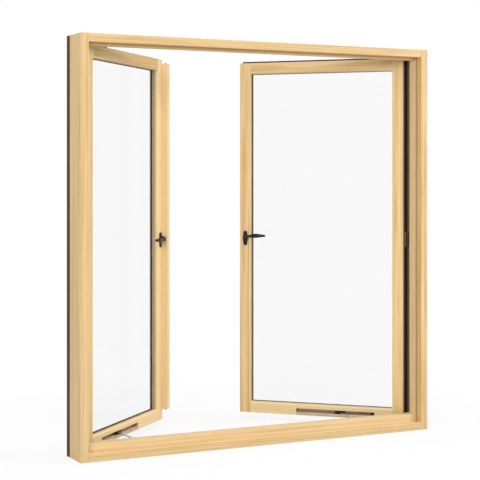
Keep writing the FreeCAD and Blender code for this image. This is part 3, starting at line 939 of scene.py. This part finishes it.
@dataclass
class ScrewTree(ShapeTree):
    """Geometry nodes that set cross-recessed screw heads on points."""

    head_sides: int = 20
    crown_share: float = 0.72
    slot_length: float = 1.05
    slot_width: float = 0.26
    slot_lift: float = 0.9

    def __post_init__(self) -> None:
        """Builds the tree: a domed head with a cross cut in it, on every point."""
        bench = self.start("screw_heads", ("Head Radius", "Head Rise"))
        given = bench.add("NodeGroupInput").outputs
        radius, rise = given["Head Radius"], given["Head Rise"]
        crown = bench.add("GeometryNodeMeshCone", {
            "Vertices": self.head_sides, "Radius Top": bench.product(radius, self.crown_share),
            "Radius Bottom": radius, "Depth": rise})
        slots = bench.add("GeometryNodeJoinGeometry")
        long_side = bench.product(radius, self.slot_length)
        short_side = bench.product(radius, self.slot_width)
        lift = bench.add("ShaderNodeCombineXYZ", {"Z": bench.product(rise, self.slot_lift)})
        for wide, deep in ((long_side, short_side), (short_side, long_side)):
            size = bench.add("ShaderNodeCombineXYZ", {"X": wide, "Y": deep, "Z": rise})
            bar = bench.add("GeometryNodeMeshCube", {"Size": size.outputs[0]})
            raised = bench.add("GeometryNodeTransform", {
                "Geometry": bar.outputs[0], "Translation": lift.outputs[0]})
            bench.feed(slots.inputs[0], raised.outputs[0])
        cut = bench.add("GeometryNodeMeshBoolean", {
            "Mesh 1": crown.outputs[0], "Mesh 2": slots.outputs[0], "Self Intersection": True},
            operation="DIFFERENCE", solver="EXACT")
        way = bench.add("GeometryNodeInputNamedAttribute", {"Name": "facing"}, data_type="FLOAT_VECTOR")
        turn = bench.add("FunctionNodeAlignRotationToVector", {"Vector": way.outputs[0]}, axis="Z")
        heads = bench.add("GeometryNodeInstanceOnPoints", {
            "Points": given["Geometry"], "Instance": cut.outputs[0], "Rotation": turn.outputs[0]})
        self.end(bench, heads, given["Finish"])

    def drive(self, name: str, places: Sequence[tuple[Vector, Vector]], radius: float, rise: float,
              finish: Finish) -> bpy.types.Object:
        """Sets one screw head at each place.

        Args:
            name: the piece's name.
            places: a point and an outward direction for each head.
            radius: the heads' radius.
            rise: how far a head stands out from its point.
            finish: what they are made of.

        Returns:
            The heads as one plain mesh, not yet on a body.
        """
        points = bpy.data.meshes.new(name)
        points.from_pydata([point for point, _ in places], [], [])
        ways = [part for _, way in places for part in way]
        points.attributes.new("facing", "FLOAT_VECTOR", "POINT").data.foreach_set("vector", ways)
        return self.shaped(points, {"Head Radius": radius, "Head Rise": rise}, finish)


@dataclass
class LeverTree(ShapeTree):
    """Geometry nodes that sweep a handle lever: a round boss, a slim neck, a swell and a taper to the tip."""

    steps: int = 72
    section_sides: int = 28
    least_square: float = 0.0004

    def __post_init__(self) -> None:
        """Builds the tree: an oval section swept along the path, with its girth by rule."""
        parts = ("Boss", "Neck", "Grip", "Tip")
        numbers = [f"{part} {measure}" for measure in ("Radius", "Length") for part in parts]
        bench = self.start("handle_lever", (*numbers, "Flatness"), ("Away",))
        given = bench.add("NodeGroupInput").outputs
        path = bench.add("GeometryNodeMeshToCurve", {"Mesh": given["Geometry"]})
        bent = bench.add("GeometryNodeCurveSplineType", {"Curve": path.outputs[0]}, spline_type="NURBS")
        even = bench.add("GeometryNodeResampleCurve", {"Curve": bent.outputs[0], "Count": self.steps})
        faced = bench.add("GeometryNodeSetCurveNormal", {
            "Curve": even.outputs[0], "Normal": given["Away"]}, mode="FREE")
        along = bench.add("GeometryNodeSplineParameter").outputs["Length"]
        whole = bench.add("GeometryNodeSplineLength").outputs["Length"]
        radii = [given[f"{part} Radius"] for part in parts]
        stops = [*(given[f"{part} Length"] for part in parts[:-1]), whole]
        runs = [bench.span(along, stops[step:step + 2], radii[step:step + 2], "SMOOTHSTEP")
                for step in range(len(parts) - 1)]
        girth = runs[0]
        for run, shared in zip(runs[1:], radii[1:]):
            girth = bench.maths("SUBTRACT", bench.maths("ADD", girth, run), shared)
        left = bench.maths("SUBTRACT", whole, along)
        short = bench.span(left, (0.0, given["Tip Length"]), (1.0, 0.0))
        square = bench.maths("MAXIMUM", bench.maths("SUBTRACT", 1.0, bench.product(short, short)),
                             self.least_square)
        girth = bench.product(girth, bench.maths("SQRT", square))
        ring = bench.add("GeometryNodeCurvePrimitiveCircle", {
            "Resolution": self.section_sides, "Radius": 1.0})
        oval = bench.add("ShaderNodeCombineXYZ", {"X": given["Flatness"], "Y": 1.0, "Z": 1.0})
        section = bench.add("GeometryNodeTransform", {"Geometry": ring.outputs[0], "Scale": oval.outputs[0]})
        swept = bench.add("GeometryNodeCurveToMesh", {
            "Curve": faced.outputs[0], "Profile Curve": section.outputs[0], "Scale": girth,
            "Fill Caps": True})
        smooth = bench.add("GeometryNodeSetShadeSmooth", {
            "Geometry": swept.outputs[0], "Shade Smooth": True})
        self.end(bench, smooth, given["Finish"])

    def sweep(self, name: str, path: Sequence[Vector], away: Vector, sizes: dict[str, float],
              finish: Finish) -> bpy.types.Object:
        """Makes one lever.

        Args:
            name: the piece's name.
            path: the lever's guide points, in the row frame.
            away: the flat direction of its section.
            sizes: the tree's sizes, by name.
            finish: what it is finished in.

        Returns:
            The lever as plain mesh, not yet on a body.
        """
        guide = bpy.data.meshes.new(name)
        guide.from_pydata(path, [(index, index + 1) for index in range(len(path) - 1)], [])
        return outward(self.shaped(guide, {**sizes, "Away": tuple(away)}, finish))


@dataclass
class Workshop:
    """The tools that the sub-assemblies share."""

    joinery: Joinery = field(default_factory=Joinery)
    seals: SealTree = field(default_factory=SealTree)
    screws: ScrewTree = field(default_factory=ScrewTree)
    levers: LeverTree = field(default_factory=LeverTree)


def rounded_block(work: bmesh.types.BMesh, lowest: Sequence[float], highest: Sequence[float],
                  ease: float) -> None:
    """Adds a block with rounded edges to a mesh in the making.

    Args:
        work: the mesh in the making.
        lowest: the block's lowest corner.
        highest: the block's highest corner.
        ease: how far its edges are rounded.
    """
    low, high = Vector(lowest), Vector(highest)
    size = high - low
    matrix = Matrix.Translation((low + high) / 2) @ Matrix.Diagonal((*size, 1.0))
    made = bmesh.ops.create_cube(work, size=1.0, matrix=matrix)
    edges = list({edge for vertex in made["verts"] for edge in vertex.link_edges})
    bmesh.ops.bevel(work, geom=edges, offset=ease, segments=3, profile=0.5, affect="EDGES")


def turned_stud(work: bmesh.types.BMesh, centre: Vector, axis: Vector,
                profile: Sequence[tuple[float, float]], steps: int = 24) -> None:
    """Adds a turned stud to a mesh in the making.

    Args:
        work: the mesh in the making.
        centre: where the stud's foot stands.
        axis: the way that it points.
        profile: pairs of radius and rise from foot to crown.
        steps: how many sides it has.
    """
    turn = axis.to_track_quat("Z", "Y").to_matrix()
    rings = []
    for radius, rise in profile:
        ring = []
        for step in range(steps):
            angle = 2.0 * math.pi * step / steps
            spot = Vector((radius * math.cos(angle), radius * math.sin(angle), rise))
            ring.append(work.verts.new(centre + turn @ spot))
        rings.append(ring)
    for lower, upper in zip(rings, rings[1:]):
        for step in range(steps):
            after = (step + 1) % steps
            work.faces.new((lower[step], lower[after], upper[after], upper[step]))
    work.faces.new(list(reversed(rings[0])))
    work.faces.new(rings[-1])


def finished(name: str, work: bmesh.types.BMesh, finish: Finish,
             space: SashSpace | None = None) -> bpy.types.Object:
    """Ends a mesh in the making.

    Args:
        name: the piece's name.
        work: the mesh in the making, which is used up.
        finish: what it is finished in.
        space: the sash that it is carried to, if it was laid out on the shut left-hand one.

    Returns:
        The new object, not yet on a body.
    """
    bmesh.ops.recalc_face_normals(work, faces=work.faces)
    mesh = bpy.data.meshes.new(name)
    work.to_mesh(mesh)
    work.free()
    if space:
        space.carry(mesh)
    mesh.materials.append(finish.material())
    for face in mesh.polygons:
        face.use_smooth = True
    mesh.set_sharp_from_angle(angle=SHARP_ANGLE)
    return new_object(name, mesh)


@dataclass
class OuterFrame:
    """The fixed frame: boards, stops, outside cladding, hinge plates, stay brackets and weather seal."""

    shop: Workshop
    body: str = "frame"
    # Painted shade: how far the outer faces, the left jamb's front and the stops' narrow fronts are darkened.
    shade_outside: float = 0.16
    shade_front: float = 0.08
    shade_stop: float = 0.8
    stop_paler: float = 0.4
    seal_inset: float = 0.0035
    seal_sizes: dict[str, float] = field(default_factory=lambda: {
        "Bulb Radius": 0.0021, "Bulb Rise": 0.0026, "Foot Width": 0.0052, "Foot Thickness": 0.0012,
        "Corner Radius": 0.006})
    screw_radius: float = 0.0036
    screw_rise: float = 0.0012
    screw_sink: float = 0.0010
    screw_reaches: tuple[float, ...] = (0.014, 0.070, 0.126)
    plate_thickness: float = 0.002

    def boards(self) -> None:
        """Dresses the jambs, head, sill and stop strips."""
        upright, across = Grain.UPRIGHT, Grain.ACROSS
        # Painted shade on the outer faces, the left jamb's front and the stops' fronts.
        outer = self.shade_outside
        front = Vector((0.0, -self.shade_stop, 0.0))
        for node, grain, painted_shade in (("left_jamb", upright, Vector((-outer, -self.shade_front, 0.0))),
                                 ("right_jamb", upright, Vector((outer, 0.0, 0.0))),
                                 ("head", across, Vector((0.0, 0.0, outer))),
                                 ("sill", across, Vector((0.0, 0.0, -outer))),
                                 ("left_stop", upright, front), ("right_stop", upright, front),
                                 ("head_stop", across, front), ("sill_stop", across, None)):
            paler_and_painted_light = self.stop_paler if node.endswith("_stop") else 0.0
            self.shop.joinery.board(node, self.body, grain, paler_and_painted_light=paler_and_painted_light, painted_shade=painted_shade)

    def cladding(self) -> None:
        """Dresses the sheet round the outside."""
        for run in ("left", "right", "head", "sill"):
            node = run + "_frame_cladding"
            sheet = softened(node, SHEET_EASE, CLADDING)
            # Painted light on the faces turned in towards the opening, which line the hinge pockets.
            inward = [face.normal.x * face.center.x < -POCKET_FACING for face in sheet.data.polygons]
            mark(sheet.data, "painted_pocket_light", [float(turned_in) for turned_in in inward])
            keep(sheet, self.body, [node])

    def weather_seal(self) -> None:
        """Runs a bulb seal round the backs of the stops, where the shut sashes press."""
        side_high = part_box("left_stop")[1]
        sill_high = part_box("sill_stop")[1]
        head_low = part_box("head_stop")[0]
        side = side_high.x - self.seal_inset
        back = side_high.y + self.seal_sizes["Foot Thickness"] / 2
        low, high = sill_high.z - self.seal_inset, head_low.z + self.seal_inset
        corners = [Vector((x, back, z)) for x, z in ((side, low), (-side, low), (-side, high), (side, high))]
        seal = self.shop.seals.run("weather_seal", corners, Vector((0.0, 1.0, 0.0)), self.seal_sizes, RUBBER)
        keep(seal, self.body)

    def hardware(self) -> None:
        """Dresses the hinge plates, stay brackets and snubbers, and drives the hinge plates' screws."""
        keep(softened("hinge_snubbers", BLOCK_EASE, RUBBER), self.body, ["hinge_snubbers"])
        places: list[tuple[Vector, Vector]] = []
        for side in Side:
            mirror = 1.0 if side is Side.LEFT else -1.0
            for piece in ("hinge_plates", "stay_bracket"):
                node = f"{side.value}_{piece}"
                keep(softened(node, METAL_EASE, STEEL), self.body, [node])
            low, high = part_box(f"{side.value}_hinge_plates")
            inner = high.x if side is Side.LEFT else low.x
            middle = (low.y + high.y) / 2
            for reach in self.screw_reaches:
                for level, way in ((low.z, 1.0), (high.z, -1.0)):
                    height = level + way * self.plate_thickness - way * self.screw_sink
                    spot = Vector((inner - mirror * reach, middle, height))
                    places.append((spot, Vector((0.0, 0.0, way))))
        screws = self.shop.screws.drive("frame_screws", places, self.screw_radius, self.screw_rise, STEEL)
        keep(screws, self.body)

    def build(self) -> None:
        """Makes the whole frame."""
        self.boards()
        self.cladding()
        self.weather_seal()
        self.hardware()


@dataclass
class Sash:
    """One side's sash: boards, glass and its seals, cladding, hinge leaves, stay track and edge strip."""

    shop: Workshop
    space: SashSpace
    gasket_sizes: dict[str, float] = field(default_factory=lambda: {
        "Bulb Radius": 0.0010, "Bulb Rise": 0.0, "Foot Width": 0.0022, "Foot Thickness": 0.0012,
        "Corner Radius": 0.003})
    gasket_inset: float = 0.0011
    gasket_lift: float = 0.0007
    # How far each board is drawn paler: partly its own tone and partly painted light where the sash faces and
    # bottom rails catch more light.
    paler_and_painted_light: dict[Side, dict[str, float]] = field(default_factory=lambda: {
        Side.LEFT: {"meeting_stile": 0.85, "bottom_rail": 0.9},
        Side.RIGHT: {"top_rail": 0.2, "bottom_rail": 0.9}})
    # Painted shadow: the left sash's top rail is darkened where the head's shadow falls on it.
    painted_shade: dict[Side, dict[str, float]] = field(default_factory=lambda: {
        Side.LEFT: {"top_rail": 0.26}, Side.RIGHT: {}})
    # Painted highlight on the splayed faces beside the glass.
    splay_highlight_share: float = 1.0
    screw_radius: float = 0.0034
    screw_rise: float = 0.0010
    screw_sink: float = 0.0008
    screw_reaches: tuple[float, ...] = (0.012, 0.070, 0.128)
    screw_setback: float = 0.004
    edge_lip: float = 0.0050
    edge_thickness: float = 0.0010
    edge_sink: float = 0.0004
    edge_ends: float = 0.002
    edge_back: float = 0.001
    edge_ease: float = 0.0004

    @property
    def body(self) -> str:
        """The body that the sash's pieces move with."""
        return self.space.named("sash")

    def boards(self) -> None:
        """Dresses the stiles and rails."""
        for piece, grain in (("hinge_stile", Grain.UPRIGHT), ("meeting_stile", Grain.UPRIGHT),
                             ("top_rail", Grain.ACROSS), ("bottom_rail", Grain.ACROSS)):
            painted_shade = self.space.heading((0.0, -self.painted_shade[self.space.side].get(piece, 0.0), 0.0))
            self.shop.joinery.board(self.space.named(piece), self.body, grain, self.space.matrix,
                                    self.paler_and_painted_light[self.space.side].get(piece, 0.0), self.splay_highlight_share, painted_shade)

    def glazing(self) -> None:
        """Finishes the panes and their spacer, and seals the panes inside and out."""
        for piece, finish in (("glass", GLASS), ("glass_spacer", SPACER)):
            node = frame["nodes"][self.space.named(piece)]
            for entry in node.material_slots:
                entry.material = finish.material()
            LOG.info("%s is finished in %s", node.name, finish.name)
        left, bottom, right, top = self.sight()
        glass_low, glass_high = self.space.box("glass")
        for name, depth, away, finish in (("inside_gasket", glass_low.y, -1.0, TAPE),
                                          ("outside_gasket", glass_high.y, 1.0, BROWN_RUBBER)):
            level = depth + away * self.gasket_lift
            corners = [self.space.matrix @ Vector((x, level, z)) for x, z in (
                (left, bottom), (right, bottom), (right, top), (left, top))]
            seal = self.shop.seals.run(self.space.named(name), corners, self.space.heading((0.0, away, 0.0)),
                                       self.gasket_sizes, finish)
            keep(seal, self.body)

    def sight(self) -> tuple[float, float, float, float]:
        """Finds the edges of the glass that shows, set in to where a gasket's middle runs.

        Returns:
            The place of the hinge side, the bottom, the meeting side and the top.
        """
        spacer_low, spacer_high = self.space.box("glass_spacer")
        bottom = self.space.box("bottom_rail")[1].z
        top = self.space.box("top_rail")[0].z
        cover = bottom - spacer_low.z
        inset = self.gasket_inset
        return spacer_low.x + cover + inset, bottom + inset, spacer_high.x - cover - inset, top - inset

    def metalwork(self) -> None:
        """Dresses the cladding, hinge leaves and stay track, and drives the leaves' screws."""
        node = self.space.named("sash_cladding")
        sheet = softened(node, SHEET_EASE, CLADDING)
        hinge_way = self.space.heading((-1.0, 0.0, 0.0))
        # Painted light on the faces turned towards the hinge, which line the hinge pocket.
        inward = [face.normal.dot(hinge_way) > POCKET_FACING for face in sheet.data.polygons]
        mark(sheet.data, "painted_pocket_light", [float(turned_in) for turned_in in inward])
        keep(sheet, self.body, [node])
        for piece, finish in (("hinge_leaves", BRONZE), ("stay_track", TRACK)):
            node = self.space.named(piece)
            keep(softened(node, METAL_EASE, finish), self.body, [node])
        low, high = self.space.box("hinge_leaves")
        depth = (low.y + self.space.box("hinge_stile")[1].y) / 2 + self.screw_setback
        places = []
        for reach in self.screw_reaches:
            for level, way in ((low.z, -1.0), (high.z, 1.0)):
                point = self.space.matrix @ Vector((high.x - reach, depth, level - way * self.screw_sink))
                places.append((point, Vector((0.0, 0.0, way))))
        screws = self.shop.screws.drive(self.space.named("leaf_screws"), places, self.screw_radius,
                                        self.screw_rise, BRONZE)
        keep(screws, self.body)

    def edge_seal(self) -> None:
        """Folds a rubber strip round the outer corner of the hinge stile, cut away beside the snubber."""
        low, high = self.space.box("hinge_stile")
        block_low, block_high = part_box("hinge_snubbers")
        near, front = low.x - self.edge_thickness, low.y - self.edge_thickness
        bottom, top = low.z + self.edge_ends, high.z - self.edge_ends
        work = bmesh.new()
        rounded_block(work, (near, front, bottom), (low.x + self.edge_lip, low.y + self.edge_sink, top),
                      self.edge_ease)
        for start, end in ((bottom, block_low.z), (block_high.z, top)):
            rounded_block(work, (near, front, start), (low.x + self.edge_sink, high.y - self.edge_back, end),
                          self.edge_ease)
        strip = finished(self.space.named("edge_seal"), work, EDGE_RUBBER, self.space)
        keep(strip, self.body)

    def build(self) -> None:
        """Makes the whole sash."""
        self.boards()
        self.glazing()
        self.metalwork()
        self.edge_seal()


@dataclass
class Handle:
    """One side's fold-flat handle: a plate with two screws and a swept lever."""

    shop: Workshop
    space: SashSpace
    lever_sizes: dict[str, float] = field(default_factory=lambda: {
        "Boss Radius": 0.0098, "Neck Radius": 0.0047, "Grip Radius": 0.0089, "Tip Radius": 0.0046,
        "Boss Length": 0.012, "Neck Length": 0.032, "Grip Length": 0.060, "Tip Length": 0.004,
        "Flatness": 0.85})
    screw_radius: float = 0.0027
    screw_rise: float = 0.0011
    screw_offset: float = 0.0225
    lever_half: float = 0.0050
    lever_root: float = 0.0004
    lever_shank: float = 0.008
    lever_bend: float = 0.001
    lever_tip: float = 0.003
    lever_climb: tuple[tuple[float, float], ...] = ((0.010, 0.25), (0.028, 0.9), (0.055, 1.0))
    rise: dict[Side, float] = field(default_factory=lambda: {Side.LEFT: -0.003, Side.RIGHT: 0.006})

    def plate(self) -> None:
        """Dresses the plate as a casting and drives its two screws."""
        node = self.space.named("handle_plate")
        body = self.space.named("sash")
        keep(softened(node, CAST_EASE, BLACK), body, [node])
        low, high = self.space.box("handle_plate")
        places = []
        for way in (-1.0, 1.0):
            spot = Vector(((low.x + high.x) / 2, low.y, (low.z + high.z) / 2 + way * self.screw_offset))
            places.append((self.space.matrix @ spot, self.space.heading((0.0, -1.0, 0.0))))
        screws = self.shop.screws.drive(self.space.named("handle_screws"), places, self.screw_radius,
                                        self.screw_rise, BLACK)
        keep(screws, body)

    def lever(self) -> None:
        """Sweeps the lever from its boss to the tip."""
        low = self.space.box("handle_lever")[0]
        axis = self.space.back @ Vector(joint(self.space.named("handle_turn"))["pos_m"])
        foot = self.space.box("handle_plate")[0].y
        middle = low.y + self.lever_half
        reach = axis.x - low.x
        rise = self.rise[self.space.side]
        guide = [(0.0, foot - self.lever_root, 0.0), (0.0, foot - self.lever_shank, 0.0),
                 (self.lever_bend, middle + self.lever_bend, 0.0)]
        for step, share in (*self.lever_climb, (reach + self.lever_tip, 1.0)):
            guide.append((step, middle, rise * share))
        path = [self.space.matrix @ Vector((axis.x - step, depth, axis.z + lift))
                for step, depth, lift in guide]
        grip = self.shop.levers.sweep(self.space.named("handle_grip"), path,
                                      self.space.heading((0.0, 1.0, 0.0)), self.lever_sizes, BLACK)
        keep(grip, self.space.named("handle"), [self.space.named("handle_lever")])

    def build(self) -> None:
        """Makes the whole handle."""
        self.plate()
        self.lever()


@dataclass
class Stay:
    """One side's stay at the sill: arm, forked carriage, and the track's end stop and flange."""

    space: SashSpace
    rivet: tuple[tuple[float, float], ...] = (
        (0.0042, -0.0008), (0.0042, 0.0004), (0.0034, 0.0011), (0.0016, 0.0014))
    fork_near: float = 0.018
    fork_root: float = 0.0065
    fork_far: float = 0.022
    fork_lap: float = 0.003
    fork_setback: float = 0.0005
    fork_depth: float = 0.008
    fork_gap: float = 0.0007
    fork_clearance: float = 0.0012
    stop_length: float = 0.015
    stop_front: float = 0.0062
    stop_back: float = 0.0020
    stop_clearance: float = 0.0015
    flange_skin: float = 0.0006
    flange_foot: float = 0.0006
    flange_sink: float = 0.0004
    flange_lap: float = 0.0002
    flange_ease: float = 0.0002
    ease: float = 0.0012

    def arm(self) -> None:
        """Dresses the arm and rivets it to its bracket."""
        node = self.space.named("stay_arm")
        keep(softened(node, METAL_EASE, STEEL), node, [node])
        bracket = Vector(joint(self.space.named("stay_swing"))["pos_m"])
        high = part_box(node)[1]
        work = bmesh.new()
        top = Vector((bracket.x, bracket.y, high.z))
        turned_stud(work, top, Vector((0.0, 0.0, 1.0)), self.rivet)
        keep(finished(self.space.named("stay_rivet"), work, STEEL), node)

    def carriage(self) -> None:
        """Dresses the shoe as a black carriage, forked above and below the arm's end."""
        node = self.space.named("stay_shoe")
        keep(softened(node, METAL_EASE, BLACK), node, [node])
        low, high = self.space.box("stay_shoe")
        arm_low, arm_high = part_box(self.space.named("stay_arm"))
        track_low, track_high = self.space.box("stay_track")
        middle = (low.x + high.x) / 2
        near, root, far = middle - self.fork_near, middle + self.fork_root, middle + self.fork_far
        lap = root + self.fork_lap
        front = self.space.box("bottom_rail")[0].y + self.fork_setback
        back = front + self.fork_depth
        foot, crown = track_low.z + self.fork_clearance, track_high.z - self.fork_clearance
        work = bmesh.new()
        for start, end in (((root, front, foot), (far, back, crown)),
                           ((near, front, arm_high.z + self.fork_gap), (lap, back, crown)),
                           ((near, front, foot), (lap, back, arm_low.z - self.fork_gap))):
            rounded_block(work, start, end, self.ease)
        keep(finished(self.space.named("stay_carriage"), work, BLACK, self.space), node)

    def end_stop(self) -> None:
        """Caps the hinge end of the track."""
        low, high = self.space.box("stay_track")
        work = bmesh.new()
        rounded_block(work, (low.x, low.y - self.stop_front, low.z + self.stop_clearance),
                      (low.x + self.stop_length, high.y - self.stop_back, high.z - self.stop_clearance),
                      self.ease)
        cap = finished(self.space.named("track_stop"), work, BLACK, self.space)
        keep(cap, self.space.named("sash"))

    def flange(self) -> None:
        """Folds the track's bright flange down over the rail under the slot."""
        low, high = self.space.box("stay_track")
        rail = self.space.box("bottom_rail")[0]
        work = bmesh.new()
        rounded_block(work, (low.x, rail.y - self.flange_skin, rail.z + self.flange_foot),
                      (high.x, rail.y + self.flange_sink, low.z + self.flange_lap), self.flange_ease)
        sheet = finished(self.space.named("track_flange"), work, FLANGE, self.space)
        keep(sheet, self.space.named("sash"))

    def build(self) -> None:
        """Makes the whole stay."""
        self.arm()
        self.carriage()
        self.end_stop()
        self.flange()


@dataclass
class MeetingStrip:
    """The strip on the left sash that covers the meeting of the pair, with its shoot bolts."""

    shop: Workshop
    space: SashSpace
    # The strip is drawn paler: partly its own tone and partly painted light lifting it out of shade.
    paler_and_painted_light: float = 1.0

    def build(self) -> None:
        """Dresses the strip and its bolts."""
        body = self.space.named("sash")
        self.shop.joinery.board("astragal", body, Grain.UPRIGHT, self.space.matrix, self.paler_and_painted_light)
        keep(softened("shoot_bolts", METAL_EASE, BLACK), body, ["shoot_bolts"])


@dataclass(frozen=True)
class Lamp:
    """One soft lamp: where it hangs, where it points, how wide and how strong it is."""

    name: str
    place: tuple[float, float, float]
    aim: tuple[float, float, float]
    width: float
    watts: float

    def hang(self) -> None:
        """Puts the lamp into the scene."""
        light = bpy.data.lights.new(self.name, "AREA")
        light.shape = "DISK"
        light.size = self.width
        light.energy = self.watts
        lamp = bpy.data.objects.new(self.name, light)
        bpy.context.scene.collection.objects.link(lamp)
        lamp.location = self.place
        lamp.rotation_euler = (Vector(self.aim) - Vector(self.place)).to_track_quat("-Z", "Y").to_euler()


@dataclass
class Studio:
    """Floor, soft lamps, white surroundings and the camera."""

    floor_half: float = 9.0
    floor_drop: float = 0.0005
    ambient: float = 0.65
    lamps: tuple[Lamp, ...] = (
        Lamp("key_lamp", (4.6, -3.4, 2.1), (0.0, 0.0, 0.75), 1.6, 132.0),
        Lamp("side_lamp", (-3.9, -3.8, 2.2), (0.0, 0.0, 0.7), 2.4, 114.0),
        Lamp("top_lamp", (0.0, 0.2, 5.0), (0.0, 0.2, 0.0), 4.0, 50.0))
    eye: tuple[float, float, float] = (-2.34805, -4.54005, 0.98602)
    yaw_degrees: float = -26.657
    focal_pixels: float = 1357.5
    image_pixels: float = 480.0
    shift_up: float = -0.12506
    sensor: float = 36.0

    def floor(self) -> None:
        """Lays the floor under the window."""
        half, level = self.floor_half, CAD_BOX[0].z - self.floor_drop
        mesh = bpy.data.meshes.new("studio_floor")
        corners = [(x, y, level) for x, y in ((-half, -half), (half, -half), (half, half), (-half, half))]
        mesh.from_pydata(corners, [], [(0, 1, 2, 3)])
        mesh.materials.append(FLOOR.material())
        new_object("studio_floor", mesh)

    def surroundings(self) -> None:
        """Makes the world white to look at and soft grey as a light."""
        world = bpy.data.worlds.new("studio")
        world.use_nodes = True
        bpy.context.scene.world = world
        bench = NodeBench(world.node_tree)
        strength = bench.span(seen_rays(bench), (0.0, 1.0), (self.ambient, 1.0))
        shade = world.node_tree.nodes["Background"]
        shade.inputs["Color"].default_value = (1.0, 1.0, 1.0, 1.0)
        world.node_tree.links.new(strength, shade.inputs["Strength"])

    def camera(self) -> None:
        """Stands the camera where the photograph was taken from."""
        lens = bpy.data.cameras.new("viewpoint")
        lens.sensor_width = self.sensor
        lens.sensor_fit = "HORIZONTAL"
        lens.lens = self.focal_pixels / self.image_pixels * self.sensor
        lens.shift_y = self.shift_up
        viewer = bpy.data.objects.new("viewpoint", lens)
        bpy.context.scene.collection.objects.link(viewer)
        viewer.location = self.eye
        viewer.rotation_euler = (math.radians(90.0), 0.0, math.radians(self.yaw_degrees))
        bpy.context.scene.camera = viewer

    def build(self) -> None:
        """Sets up the whole studio."""
        self.floor()
        self.surroundings()
        self.camera()
        for lamp in self.lamps:
            lamp.hang()
        bpy.context.scene.view_settings.view_transform = "Standard"


def main() -> None:
    """Dresses the window piece by piece and sets up its studio."""
    logging.basicConfig(level=logging.INFO, format="%(message)s")
    shop = Workshop()
    Studio().build()
    OuterFrame(shop).build()
    for side in Side:
        space = SashSpace(side)
        Sash(shop, space).build()
        Handle(shop, space).build()
        Stay(space).build()
        if side is Side.LEFT:
            MeetingStrip(shop, space).build()


if __name__ == "__main__":
    main()
